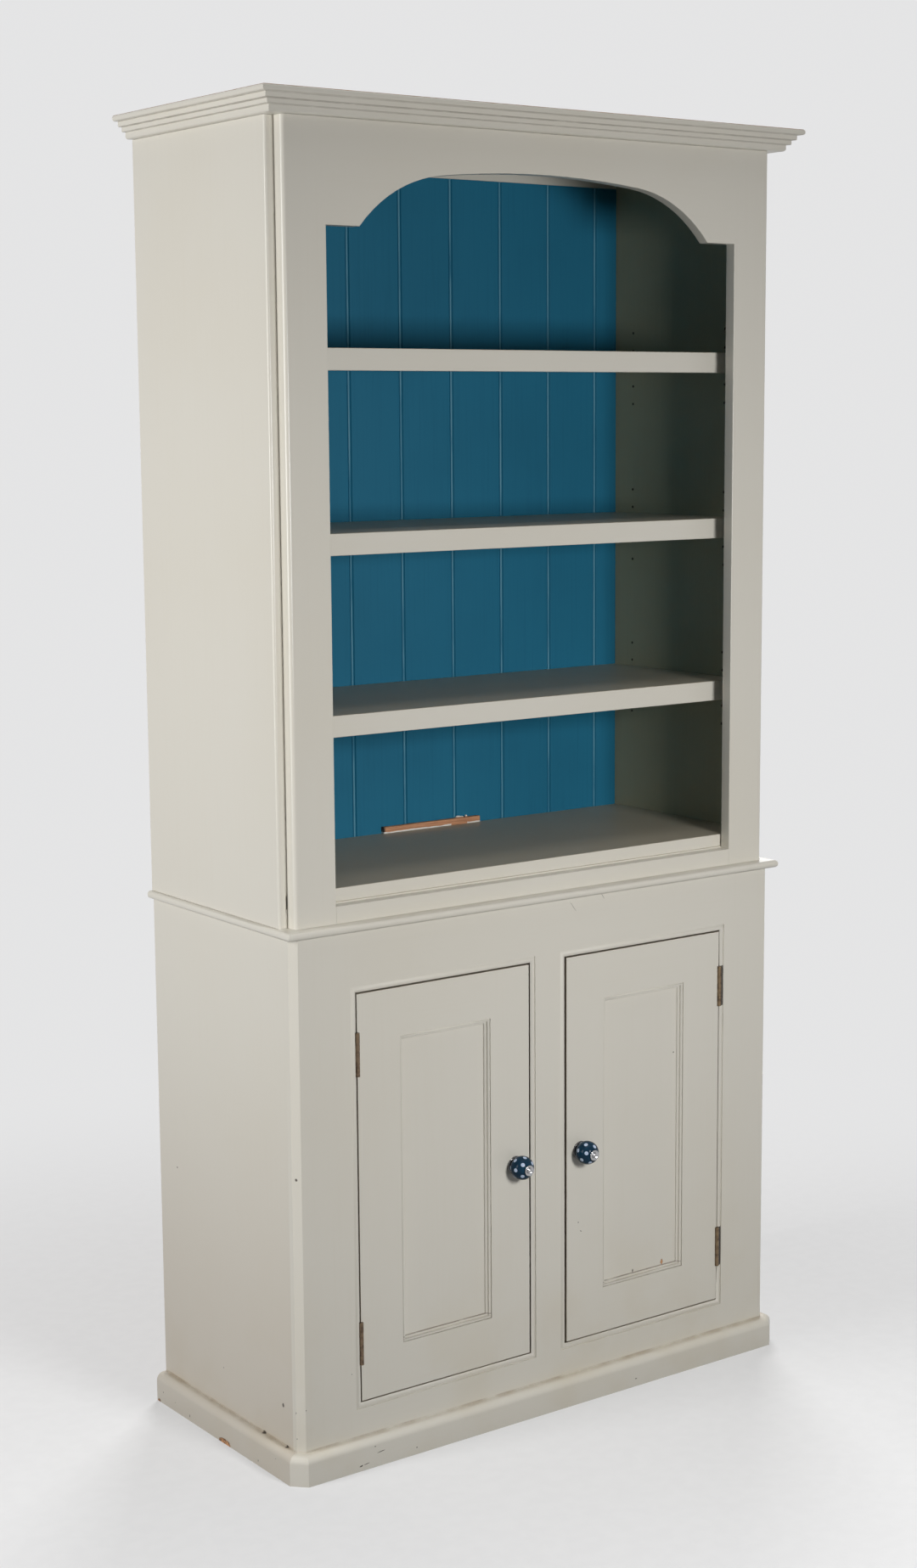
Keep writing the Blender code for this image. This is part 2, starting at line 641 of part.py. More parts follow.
# Beads, doors, hinges and knobs
for side, sign in sides.items():
    pivot = "door_" + side
    pivots[pivot] = bpy.data.objects.new(pivot + "_pivot", None)
    parts.objects.link(pivots[pivot])
    pivots[pivot].location = (sign * hinge_x, at(-HINGE_PIN_FORWARD), opening_middle_z)

    seats = {level: hinge_seat(side, level, sign * hinge_x, z) for level, z in hinge_heights.items()}
    opening_middle_x = sign * (opening_inner + opening_width / 2)
    opening_halves = (opening_width / 2, opening_height / 2)
    frame = mitred_frame(opening_middle_x, opening_middle_z, *opening_halves, bead_section)
    bead = solid("cock_bead_" + side, frame, cream_paint)
    for seat in seats.values():
        boolean(bead, seat)

    door_zs = (opening_bottom + DOOR_GAP, opening_top - DOOR_GAP)
    lock_edge = sign * (opening_inner + DOOR_GAP)
    hinge_edge = sign * (opening_outer - DOOR_GAP)
    lock_sight = lock_edge + sign * DOOR_STILE
    hinge_sight = hinge_edge - sign * DOOR_STILE
    prefix = pivot + "_"

    plan = grooved(hinge_sight, hinge_edge)
    hinge_stile = solid(prefix + "hinge_stile", extruded(plan, *door_zs, "Z"), cream_paint, pivot)
    plan = grooved(lock_sight, lock_edge)
    lock_stile = solid(prefix + "lock_stile", extruded(plan, *door_zs, "Z"), cream_paint, pivot)
    for seat in seats.values():
        boolean(hinge_stile, seat)

    rail_ends = sorted((lock_sight + sign * CLEARANCE, hinge_sight - sign * CLEARANCE))
    sight_zs = (door_zs[0] + DOOR_RAIL, door_zs[1] - DOOR_RAIL)
    for rail, sight, edge in zip(("bottom_rail", "top_rail"), sight_zs, door_zs):
        profile = [(y, z) for z, y in grooved(sight, edge)]
        solid(prefix + rail, extruded(profile, *rail_ends, "X"), cream_paint, pivot)

    panel_xs = (lock_sight - sign * PANEL_TONGUE, hinge_sight + sign * PANEL_TONGUE)
    panel_zs = (sight_zs[0] - PANEL_TONGUE, sight_zs[1] + PANEL_TONGUE)
    panel_depths = (PANEL_RECESS, PANEL_RECESS + PANEL_THICKNESS)
    board(prefix + "panel", panel_xs, panel_depths, panel_zs, cream_paint, pivot)
    half_width = abs(hinge_sight - lock_sight) / 2 - MOULDING_WIDTH - CLEARANCE
    half_height = (sight_zs[1] - sight_zs[0]) / 2 - MOULDING_WIDTH - CLEARANCE
    frame = mitred_frame(opening_middle_x, opening_middle_z, half_width, half_height, moulding_section)
    solid(prefix + "moulding", frame, cream_paint, pivot)

    for level, z in hinge_heights.items():
        hinge(side, level, sign, sign * hinge_x, z)
    knob_spot = (lock_edge + sign * KNOB_FROM_EDGE, opening_middle_z - KNOB_BELOW_MIDDLE)
    boolean(lock_stile, knob(side, *knob_spot))

# Door catch behind the middle stile: it laps the backs of both doors, and is also their stop
catch_half = opening_inner + DOOR_GAP + CATCH_LAP
catch_top = opening_top - CATCH_BELOW_TOP
catch_depths = (FRAME_THICKNESS + CLEARANCE, FRAME_THICKNESS + CLEARANCE + CATCH_THICKNESS)
board("door_catch", (-catch_half, catch_half), catch_depths, (catch_top - CATCH_HEIGHT, catch_top), steel)

# Bookcase carcass
upper_base = waist_top + CLEARANCE
carcass_top = cornice_base - CLEARANCE
floor_front = upper_frame_back + CLEARANCE
floor_depths = (floor_front, back_setback - CLEARANCE)
floor_zs = (bookcase_floor_top - BOOKCASE_FLOOR_THICKNESS, bookcase_floor_top)
shelf_back = back_setback - SHELF_END_CLEARANCE
pin_depths = (SHELF_SETBACK + SHELF_PIN_FROM_EDGE, back_setback - SHELF_PIN_FROM_EDGE)


def pin_level(shelf_top):
    return shelf_top - SHELF_THICKNESS - CLEARANCE - SHELF_PIN_RADIUS


def round_rods(name, spots, xs, radius):
    """Short rods along X in one helper object, for drilling a side panel or standing out of it."""
    bm = bmesh.new()
    for depth, z in spots:
        made = bmesh.ops.create_cone(
            bm,
            cap_ends=True,
            segments=PIN_SIDES,
            radius1=radius,
            radius2=radius,
            depth=abs(xs[1] - xs[0]),
        )
        for vert in made["verts"]:
            vert.co = (vert.co.z + (xs[0] + xs[1]) / 2, vert.co.x + at(depth), vert.co.y + z)
    return solid(name, bm, None)


hole_steps = [step for step in range(-SHELF_HOLES_EACH_WAY, SHELF_HOLES_EACH_WAY + 1) if step]
pin_spots = [(depth, pin_level(top)) for top in shelf_tops.values() for depth in pin_depths]
hole_spots = [(depth, z + step * SHELF_HOLE_PITCH) for depth, z in pin_spots for step in hole_steps]

for side, sign in sides.items():
    plan = side_outline(
        upper_half,
        upper_inside,
        upper_frame_back + CLEARANCE,
        upper_depth,
        BACK_REBATE,
        upper_depth - back_setback + CLEARANCE,
        sign,
        SIDE_ROUND,
    )
    panel = solid("bookcase_side_" + side, extruded(plan, upper_base, carcass_top, "Z"), cream_paint)
    housing = housing_cutter("housing_bookcase_floor_" + side, upper_inside, sign, floor_depths, floor_zs)
    boolean(panel, housing)
    drilled = (sign * (upper_inside - SHELF_HOLE_DEPTH), sign * (upper_inside + SHELF_HOLE_DEPTH))
    boolean(panel, round_rods("shelf_holes_" + side, hole_spots, drilled, SHELF_PIN_RADIUS))
    standing = (sign * (upper_inside - SHELF_PIN_LENGTH), sign * (upper_inside + SHELF_HOLE_DEPTH))
    boolean(panel, round_rods("shelf_pins_" + side, pin_spots, standing, SHELF_PIN_RADIUS), "UNION")

top_zs = (cornice_base, cornice_base + BOARD)
board("bookcase_top", (-upper_half, upper_half), (UPPER_SETBACK, upper_depth), top_zs, bare_board)

# Floor of the bookcase, with a narrow ledge along the foot of its front edge
ledge_top = floor_zs[0] + FLOOR_LEDGE_HEIGHT
floor_section = [
    (at(floor_front), floor_zs[0]),
    (at(floor_depths[1]), floor_zs[0]),
    (at(floor_depths[1]), floor_zs[1]),
    (at(floor_front + FLOOR_LEDGE), floor_zs[1]),
    (at(floor_front + FLOOR_LEDGE), ledge_top),
    (at(floor_front), ledge_top),
]
floor_half = upper_inside + HOUSING_DEPTH - CLEARANCE
solid("bookcase_floor", extruded(floor_section, -floor_half, floor_half, "X"), cream_paint)

# Back panel with a V joint between its boards, counted out from the middle
back_half = upper_inside + BACK_REBATE - CLEARANCE
groove_count = int((back_half - BACK_GROOVE_WIDTH) / BACK_BOARD_PITCH)
back_plan = [(-back_half, at(back_setback))]
for step in range(-groove_count, groove_count + 1):
    x = step * BACK_BOARD_PITCH
    back_plan.append((x - BACK_GROOVE_WIDTH / 2, at(back_setback)))
    back_plan.append((x, at(back_setback + BACK_GROOVE_DEPTH)))
    back_plan.append((x + BACK_GROOVE_WIDTH / 2, at(back_setback)))
back_plan.append((back_half, at(back_setback)))
back_plan += [(back_half, at(back_setback + BACK_THICKNESS)), (-back_half, at(back_setback + BACK_THICKNESS))]
back_zs = (upper_base, back_rail_bottom - CLEARANCE)
solid("bookcase_back", extruded(back_plan, *back_zs, "Z"), teal_paint)
rail_zs = (back_rail_bottom, carcass_top)
board("bookcase_back_rail", (-back_half, back_half), (back_setback, upper_depth), rail_zs)

batten_xs = (BATTEN_OFFSET - BATTEN_LENGTH / 2, BATTEN_OFFSET + BATTEN_LENGTH / 2)
batten_back = back_setback - CLEARANCE
batten_zs = (bookcase_floor_top + CLEARANCE, bookcase_floor_top + CLEARANCE + BATTEN_HEIGHT)
board("back_batten", batten_xs, (batten_back - BATTEN_THICKNESS, batten_back), batten_zs, raw_wood)

# Bookcase face frame
upper_frame_depths = (UPPER_SETBACK, upper_frame_back)
for side, sign in sides.items():
    plan = [(arch_half, at(UPPER_SETBACK))]
    plan += arc((upper_frame_half - STILE_ROUND, at(UPPER_SETBACK + STILE_ROUND)), STILE_ROUND, -90, 0)
    plan += [(upper_frame_half, at(upper_frame_back)), (arch_half, at(upper_frame_back))]
    plan = [(sign * x, y) for x, y in plan]
    solid("bookcase_stile_" + side, extruded(plan, upper_base, carcass_top, "Z"), cream_paint)

rail_xs = (CLEARANCE - arch_half, arch_half - CLEARANCE)
bottom_rail_zs = (upper_base, waist_top + BOTTOM_RAIL_HEIGHT)
board("bookcase_bottom_rail", rail_xs, upper_frame_depths, bottom_rail_zs)

# Arch: a wide crown arc that runs smoothly into a tighter arc down to each cusp
crown_z = cornice_base - FRIEZE_CROWN
shoulder_z = crown_z - ARCH_RISE
cusp = Vector((arch_half - ARCH_SHOULDER, shoulder_z))
crown_turn = math.asin(ARCH_CROWN_HALF / ARCH_CROWN_RADIUS)
crown_centre = (0.0, crown_z - ARCH_CROWN_RADIUS)
normal = Vector((math.sin(crown_turn), math.cos(crown_turn)))
haunch = Vector(crown_centre) + normal * ARCH_CROWN_RADIUS
to_cusp = cusp - haunch
haunch_radius = -to_cusp.length_squared / (2 * to_cusp.dot(normal))
haunch_centre = haunch - normal * haunch_radius
cusp_angle = math.degrees(math.atan2(cusp.y - haunch_centre.y, cusp.x - haunch_centre.x))
crown_degrees = math.degrees(crown_turn)
right_arch = arc(haunch_centre, haunch_radius, cusp_angle, 90 - crown_degrees, 2 * ARC_STEPS)
right_arch += arc(crown_centre, ARCH_CROWN_RADIUS, 90 - crown_degrees, 90, ARC_STEPS)[1:]
left_arch = [(-x, z) for x, z in reversed(right_arch[:-1])]
frieze_half = rail_xs[1]
frieze_outline = [(-frieze_half, carcass_top), (frieze_half, carcass_top), (frieze_half, shoulder_z)]
frieze_outline += right_arch + left_arch + [(-frieze_half, shoulder_z)]
frieze = extruded(frieze_outline, at(UPPER_SETBACK), at(upper_frame_back), "Y")
solid("arched_frieze", frieze, cream_paint)

# Cornice round the top board: a bed mould, two steps and a nose, each rounded at its lower edge
cornice_path = [
    (-upper_half, at(upper_depth)),
    (-upper_half, at(UPPER_SETBACK)),
    (upper_half, at(UPPER_SETBACK)),
    (upper_half, at(upper_depth)),
]
cornice_section = [(0.0, cornice_base)]
member_base = cornice_base
for height, reach, lower_round in (
    (CORNICE_BED_HEIGHT, CORNICE_BED_REACH, CORNICE_BED_ROUND),
    (CORNICE_LOWER_HEIGHT, CORNICE_LOWER_REACH, CORNICE_STEP_ROUND),
    (CORNICE_UPPER_HEIGHT, CORNICE_UPPER_REACH, CORNICE_STEP_ROUND),
    (CORNICE_NOSE_HEIGHT - CORNICE_NOSE_ROUND, CORNICE_NOSE_REACH, CORNICE_NOSE_ROUND),
):
    cornice_section += arc((reach - lower_round, member_base + lower_round), lower_round, -90, 0)
    member_base += height
    cornice_section.append((reach, member_base))
nose_centre = (CORNICE_NOSE_REACH - CORNICE_NOSE_ROUND, member_base)
cornice_section += arc(nose_centre, CORNICE_NOSE_ROUND, 0, 90)[1:]
cornice_section.append((0.0, member_base + CORNICE_NOSE_ROUND))
cornice_stretches = ["cornice_left", "cornice_front", "cornice_right"]
run_of_moulding(cornice_stretches, cornice_path, cornice_section, cream_paint)

# Adjustable shelves: a board with a deeper lip along the front
shelf_half = upper_inside - SHELF_END_CLEARANCE
for name, shelf_top in shelf_tops.items():
    lip_back = SHELF_SETBACK + SHELF_LIP_THICKNESS
    underside = shelf_top - SHELF_THICKNESS
    lip_bottom = shelf_top - SHELF_LIP_HEIGHT
    section = [
        (at(SHELF_SETBACK), shelf_top),
        (at(SHELF_SETBACK), lip_bottom),
        (at(lip_back), lip_bottom),
        (at(lip_back), underside),
        (at(shelf_back), underside),
        (at(shelf_back), shelf_top),
    ]
    solid(name, extruded(section, -shelf_half, shelf_half, "X"), cream_paint)
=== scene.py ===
import json
import math

import bmesh
import bpy
from mathutils import Matrix, Vector


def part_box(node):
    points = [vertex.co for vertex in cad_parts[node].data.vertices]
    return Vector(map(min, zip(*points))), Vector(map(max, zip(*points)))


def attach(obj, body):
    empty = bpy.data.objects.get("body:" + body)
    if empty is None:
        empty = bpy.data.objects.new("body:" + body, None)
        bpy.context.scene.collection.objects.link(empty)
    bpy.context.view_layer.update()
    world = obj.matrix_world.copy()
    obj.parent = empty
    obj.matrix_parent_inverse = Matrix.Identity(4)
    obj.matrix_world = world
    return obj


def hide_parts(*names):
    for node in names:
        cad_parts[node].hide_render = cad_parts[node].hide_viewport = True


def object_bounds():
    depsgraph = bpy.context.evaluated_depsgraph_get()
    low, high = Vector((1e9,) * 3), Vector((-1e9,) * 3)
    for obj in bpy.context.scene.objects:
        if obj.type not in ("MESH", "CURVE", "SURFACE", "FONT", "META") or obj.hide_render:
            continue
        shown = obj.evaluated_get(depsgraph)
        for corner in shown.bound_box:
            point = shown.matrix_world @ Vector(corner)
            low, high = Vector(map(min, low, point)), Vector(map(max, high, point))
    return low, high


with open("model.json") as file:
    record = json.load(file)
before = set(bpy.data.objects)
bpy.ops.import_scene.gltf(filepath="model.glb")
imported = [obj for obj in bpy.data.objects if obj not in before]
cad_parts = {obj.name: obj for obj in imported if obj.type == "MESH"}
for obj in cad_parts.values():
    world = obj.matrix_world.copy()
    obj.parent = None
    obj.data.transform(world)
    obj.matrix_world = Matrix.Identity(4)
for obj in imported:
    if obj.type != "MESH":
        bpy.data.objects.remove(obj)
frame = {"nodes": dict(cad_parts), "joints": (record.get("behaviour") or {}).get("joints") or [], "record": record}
nodes = frame["nodes"]
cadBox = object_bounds()
bodyOf = {}
for body, members in frame["record"]["behaviour"]["bodies"].items():
    for member in members:
        bodyOf[member] = body
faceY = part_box("cupboard_muntin")[0].y  # front plane of the cupboard frame
sides = ("left", "right")
bothEnds = (-1, 1)
acrossAxis, depthAxis, heightAxis = 0, 1, 2
acrossJoints, frontJoint, uprightJoints = (acrossAxis, bothEnds), (depthAxis, (-1,)), (heightAxis, bothEnds)
print("frame loaded:", len(nodes), "nodes")


class Signal:
    # one socket of a material, so that masks are written as plain sums
    def __init__(self, tree, socket):
        self.tree = tree
        self.socket = socket

    def node(self, kind, settings, inputs, output=0):
        made = self.tree.nodes.new(kind)
        for key, value in settings.items():
            setattr(made, key, value)
        for key, value in inputs.items():
            if isinstance(value, Signal):
                self.tree.links.new(value.socket, made.inputs[key])
            else:
                made.inputs[key].default_value = value
        return Signal(self.tree, made.outputs[output])

    def sum(self, operation, first, second):
        return self.node("ShaderNodeMath", {"operation": operation}, {0: first, 1: second})

    def vector(self, operation, other=(0.0, 0.0, 0.0), output=0):
        return self.node("ShaderNodeVectorMath", {"operation": operation}, {0: self, 1: other}, output)

    def __add__(self, other):
        return self.sum("ADD", self, other)

    def __sub__(self, other):
        return self.sum("SUBTRACT", self, other)

    def __rsub__(self, other):
        return self.sum("SUBTRACT", other, self)

    def __mul__(self, other):
        return self.sum("MULTIPLY", self, other)

    def __abs__(self):
        return self.sum("ABSOLUTE", self, 0.0)

    __radd__, __rmul__ = __add__, __mul__


def newFinish(name):
    finish = bpy.data.materials.new(name)
    finish.use_nodes = True
    tree = finish.node_tree
    spot = Signal(tree, tree.nodes.new("ShaderNodeTexCoord").outputs["Object"])
    return finish, tree.nodes["Principled BSDF"], spot


def feed(shader, **signals):
    for name, signal in signals.items():
        socket = shader.inputs[{"colour": "Base Color"}.get(name, name.capitalize())]
        signal.tree.links.new(signal.socket, socket)


def band(signal, low, high):  # climbs smoothly from 0 at low to 1 at high
    sockets = {"Value": signal, "From Min": low, "From Max": high}
    return signal.node("ShaderNodeMapRange", {"interpolation_type": "SMOOTHSTEP"}, sockets)


def blend(mask, under, over):
    return mask.node("ShaderNodeMix", {"data_type": "RGBA"}, {0: mask, 6: under, 7: over}, 2)


def cloud(spot, scale, detail=3.0, output=0):
    sockets = {"Vector": spot, "Scale": scale, "Detail": detail}
    return spot.node("ShaderNodeTexNoise", {}, sockets, output)


def streaks(spot, factors, detail):  # a cloud drawn out along the axis of the least factor
    return cloud(spot.vector("MULTIPLY", factors), 1.0, detail)


def relief(height):  # height in metres
    sockets = {"Strength": 1.0, "Distance": 1.0, "Height": height}
    return height.node("ShaderNodeBump", {}, sockets)


def axisOf(spot, letter):
    return spot.node("ShaderNodeSeparateXYZ", {}, {"Vector": spot}, letter)


def least(reaches):
    nearest = reaches[0]
    for reach in reaches[1:]:
        nearest = nearest.sum("MINIMUM", nearest, reach)
    return nearest


def nearestMark(spot, marks, raggedness):
    # below 1 inside a mark: each has a middle, its half sizes and a turn about the line of sight
    shift = cloud(spot, 160.0, 3.0, "Color").vector("SUBTRACT", (0.5, 0.5, 0.5))
    ragged = spot.vector("ADD", shift.vector("MULTIPLY", (raggedness, raggedness, raggedness)))
    reaches = []
    for middle, halves, turn in marks:
        rotation = (0.0, math.radians(turn), 0.0)
        sockets = {"Vector": ragged, "Location": middle, "Rotation": rotation, "Scale": halves}
        local = ragged.node("ShaderNodeMapping", {"vector_type": "TEXTURE"}, sockets)
        reaches.append(local.vector("LENGTH", output="Value"))
    return least(reaches)


creamLook = {
    "paint": (0.655, 0.628, 0.558, 1.0),
    "yellowed": (0.585, 0.530, 0.415, 1.0),
    # dark line right at a seam: part dirt, part painted shade
    "grimeAndShade": (0.300, 0.215, 0.125, 1.0),
    # dark lines in the hollows of mouldings: painted shade, with some dirt
    "quirk": (0.170, 0.135, 0.100, 1.0),
    # painted shade towards the bottom of the sides
    "lowShade": (0.470, 0.395, 0.310, 1.0),
    "bareWood": (0.560, 0.285, 0.130, 1.0),
    "darkWood": (0.085, 0.050, 0.030, 1.0),
    "sawnTop": (0.430, 0.250, 0.135, 1.0),
    "sawnGrain": (0.270, 0.140, 0.075, 1.0),
    "dent": (0.045, 0.032, 0.024, 1.0),
    "gloss": 0.29,
    "handled": (0.02, 0.42),  # heights over which wear fades
    "lowShadeFade": (0.05, 0.75),
    "dustReach": (0.0010, 0.0090),  # distances over which dirt and painted shade fade
    "grimeAndShadeReach": (0.0005, 0.0022),
    "hollowShadeReach": (0.0003, 0.0013),
    "bareWaver": 0.0016,
    "bareFade": 0.0003,
    "strokeDepth": 0.000006,
    "dentDepth": 0.0003,
    "chipDepth": 0.0007,
    "raggedDent": 0.0016,
    "raggedChip": 0.0060,
}
strokesUp = (210.0, 210.0, 5.0)
strokesAcross = (5.0, 210.0, 210.0)
strokesBack = (210.0, 5.0, 210.0)


def creamPaint(
    name, strokes, chips=(), dents=(), seamAt=None, bareAbove=None,
    hollowShadeAt=(), lowShade=0.0, tone=None, notchShade=None, gloss=None,
):
    look = creamLook
    finish, shader, spot = newFinish(name)
    height = axisOf(spot, "Z")
    mottle = cloud(spot, 2.3, 4.0)
    brush = streaks(spot, strokes, 4.0)
    stipple = cloud(spot, 520.0, 2.0)
    colour = blend(band(mottle, 0.40, 0.78) * 0.20, tone or look["paint"], look["yellowed"])
    colour = blend(band(brush, 0.45, 0.80) * 0.06, colour, look["yellowed"])
    handled = (1 - band(height, *look["handled"])) * band(cloud(spot, 9.0, 5.0), 0.42, 0.70)
    colour = blend(handled * 0.30, colour, look["yellowed"])
    if lowShade:  # painted shade: the sides turn darker and browner towards the bottom
        lowShadeFade = (1 - band(height, *look["lowShadeFade"])) * lowShade
        colour = blend(lowShadeFade, colour, look["lowShade"])
    rough = mottle * 0.05 + ((gloss or look["gloss"]) - 0.025)
    relieved = brush * look["strokeDepth"] + stipple * look["strokeDepth"]

    if seamAt is not None:  # dust and polish gathered along the seam, with a dark line right at it: part dirt, part painted shade
        fromSeam = abs(height - seamAt)
        dust = (1 - band(fromSeam, *look["dustReach"])) * band(cloud(spot, 13.0, 4.0), 0.40, 0.68)
        colour = blend(dust * 0.25, colour, look["yellowed"])
        grimeAndShade = (1 - band(fromSeam, *look["grimeAndShadeReach"])) * band(cloud(spot, 24.0, 5.0), 0.30, 0.68)
        colour = blend(grimeAndShade * 0.58, colour, look["grimeAndShade"])
        rough = rough + grimeAndShade * 0.25
    for level, strength in hollowShadeAt:  # painted shade and some dirt in the hollows of a moulding
        line = 1 - band(abs(height - level), *look["hollowShadeReach"])
        line = line * band(cloud(spot, 40.0, 4.0), 0.15, 0.55)
        colour = blend(line * strength, colour, look["quirk"])
    if notchShade:  # painted shade in the notch chiselled out beside the hinge knuckles
        start, stop = notchShade["across"]
        across = axisOf(spot, "X")
        inside = band(across, start - notchShade["fadeIn"], start)
        inside = inside * (1 - band(across, stop, stop + notchShade["fadeOut"]))
        for level in ("upper", "lower"):
            low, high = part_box(f"hinge_left_{level}_frame_leaf")
            fromMiddle = abs(height - (low.z + high.z) / 2)
            tall = 1 - band(fromMiddle, notchShade["half"], notchShade["half"] + notchShade["fadeOut"])
            colour = blend(inside * tall, colour, notchShade["shade"])
    if bareAbove is not None:  # the paint stops short of the top
        waver = (cloud(spot, 70.0) - 0.5) * look["bareWaver"]
        bare = band(height + waver, bareAbove - look["bareFade"], bareAbove + look["bareFade"])
        grain = blend(band(brush, 0.35, 0.70), look["sawnTop"], look["sawnGrain"])
        colour = blend(bare, colour, grain)
        rough = rough + bare * 0.35
    if dents:
        dent = 1 - band(nearestMark(spot, dents, look["raggedDent"]), 0.60, 1.05)
        colour = blend(dent * 0.92, colour, look["dent"])
        relieved = relieved - dent * look["dentDepth"]
    if chips:  # down to the wood, darker around the rim
        nearest = nearestMark(spot, chips, look["raggedChip"])
        chip = 1 - band(nearest, 0.88, 1.0)
        rim = chip * band(nearest, 0.62, 0.90)
        fibre = band(cloud(spot, 210.0, 4.0), 0.36, 0.52)
        wood = blend(fibre, look["darkWood"], look["bareWood"])
        colour = blend(chip, colour, blend(rim * 0.45, wood, look["darkWood"]))
        rough = rough + chip * 0.35
        relieved = relieved - chip * look["chipDepth"]
    feed(shader, colour=colour, roughness=rough, normal=relief(relieved))
    return finish


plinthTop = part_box("plinth_front")[1].z
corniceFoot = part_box("cornice_front")[0].z
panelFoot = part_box("door_left_moulding")[0].z
plinthY = faceY - 0.018  # front plane of the plinth
caseSeam = plinthTop + 0.0015
plinthSeam = plinthTop + 0.0012
bareFrom = cadBox[1].z - 0.0011
# Height of each hollow and how dark its painted shade is
panelHollowShade = [(panelFoot + 0.0082, 0.75), (panelFoot + 0.0040, 0.30), (panelFoot + 0.0004, 0.25)]
corniceHollowShade = [(corniceFoot + 0.0107, 0.28), (corniceFoot + 0.0182, 0.42), (corniceFoot + 0.0264, 0.22)]
# painted shadow of the hinge notches on the bead beside the right door's hinges
hingeNotchShade = {
    "across": (0.3832, 0.3922), "half": 0.0357, "fadeIn": 0.0002, "fadeOut": 0.0003,
    "shade": (0.016, 0.012, 0.009, 1.0),
}
wear = {
    # middle, half sizes, turn
    "plinthChips": [
        ((-0.518, 0.010, 0.001), (0.012, 0.020, 0.0080), 0),
        ((-0.518, 0.231, 0.000), (0.012, 0.005, 0.005), 0),
    ],
    "plinthDents": [
        ((-0.500, -0.0885, 0.0500), (0.006, 0.0058, 0.0028), 0),
        ((-0.500, -0.1584, 0.0500), (0.006, 0.0040, 0.0026), 0),
        ((-0.518, 0.1255, 0.0090), (0.006, 0.0013, 0.0030), 0),
        ((-0.518, -0.0956, 0.0085), (0.006, 0.0012, 0.0024), 0),
        ((-0.518, 0.1750, 0.0160), (0.006, 0.0009, 0.0009), 0),
        ((-0.518, 0.2160, 0.0210), (0.006, 0.0010, 0.0016), 0),
        ((-0.518, -0.1500, 0.0310), (0.006, 0.0009, 0.0009), 0),
    ],
    "frontDents": [
        ((-0.3967, plinthY, 0.0088), (0.0040, 0.006, 0.0015), -14),
        ((-0.3578, plinthY, 0.0238), (0.0085, 0.006, 0.0009), -8),
        ((-0.3860, plinthY, 0.0100), (0.0060, 0.006, 0.0008), -8),
        ((-0.3694, plinthY, 0.0350), (0.0014, 0.006, 0.0013), 0),
        ((-0.2875, plinthY, 0.0116), (0.0015, 0.006, 0.0013), 0),
        ((0.1800, plinthY, 0.0140), (0.0030, 0.006, 0.0010), 6),
        ((0.0540, faceY, 0.8667), (0.00035, 0.004, 0.0122), -37),
        ((0.1181, faceY, 0.8768), (0.00035, 0.004, 0.0068), -33),
    ],
    "uprightDents": [
        ((-0.500, -0.0885, 0.0500), (0.005, 0.0058, 0.0032), 0),
        ((-0.500, -0.1584, 0.0500), (0.005, 0.0040, 0.0028), 0),
        ((-0.500, -0.1469, 0.1154), (0.004, 0.0036, 0.0040), 0),
        ((-0.500, 0.0387, 0.1184), (0.004, 0.0012, 0.0013), 0),
        ((-0.500, 0.1790, 0.4278), (0.004, 0.0016, 0.0020), 0),
        ((-0.496, -0.1905, 0.4990), (0.004, 0.0020, 0.0028), 0),
        ((-0.499, -0.1852, 0.1150), (0.003, 0.0007, 0.0022), 0),
        ((-0.488, faceY, 0.1200), (0.0009, 0.003, 0.0012), 0),
        ((-0.4005, faceY, 0.1589), (0.0009, 0.003, 0.0010), 0),
        ((-0.499, -0.1860, 0.0720), (0.003, 0.0006, 0.0014), 0),
    ],
    "doorChips": [
        ((0.2600, faceY + 0.0080, 0.2018), (0.0028, 0.003, 0.0055), 0),
    ],
    "doorDents": [
        ((0.0651, faceY, 0.3162), (0.0012, 0.003, 0.0015), 0),
        ((0.0706, faceY, 0.2999), (0.0022, 0.003, 0.0010), 35),
        ((0.2847, faceY + 0.0085, 0.5774), (0.0014, 0.003, 0.0016), 0),
        ((0.1936, faceY + 0.0080, 0.2000), (0.0016, 0.003, 0.0034), 0),
        ((0.2603, faceY + 0.0080, 0.1985), (0.0014, 0.003, 0.0018), 0),
    ],
}
cream = {
    "up": creamPaint("cream_upright", strokesUp),
    "across": creamPaint("cream_across", strokesAcross),
    "wornUp": creamPaint("cream_worn_upright", strokesUp, (), wear["uprightDents"], caseSeam),
    "wornAcross": creamPaint("cream_worn_across", strokesAcross, (), wear["frontDents"], caseSeam),
    "plinthFront": creamPaint("cream_plinth_front", strokesAcross, (), wear["frontDents"], plinthSeam),
    "plinthSide": creamPaint(
        "cream_plinth_side", strokesBack, wear["plinthChips"], wear["plinthDents"], plinthSeam, lowShade=0.38,
    ),
    "doorUp": creamPaint("cream_door_upright", strokesUp, wear["doorChips"], wear["doorDents"]),
    "corniceFront": creamPaint(
        "cream_cornice_front", strokesAcross, bareAbove=bareFrom, hollowShadeAt=corniceHollowShade,
    ),
    "corniceSide": creamPaint(
        "cream_cornice_side", strokesBack, bareAbove=bareFrom, hollowShadeAt=corniceHollowShade,
    ),
    "sideUp": creamPaint(
        "cream_side_upright", strokesUp, (), wear["uprightDents"], caseSeam, lowShade=0.42,
    ),
    "moulding": creamPaint(
        "cream_panel_moulding", strokesUp, wear["doorChips"], wear["doorDents"], hollowShadeAt=panelHollowShade,
    ),
    # darker tops of the shelves, floor and back rail: painted shade, with some wear
    "shadedLedge": creamPaint("cream_ledge", strokesAcross, tone=(0.430, 0.385, 0.300, 1.0), gloss=0.46),
    # dark cream for the door edges and the bead faces in the door gaps: painted shade
    "gapShade": creamPaint("cream_gap_shade", strokesUp, tone=(0.290, 0.250, 0.195, 1.0)),
    "bead": creamPaint("cream_bead", strokesUp, notchShade=hingeNotchShade, gloss=0.50),
}


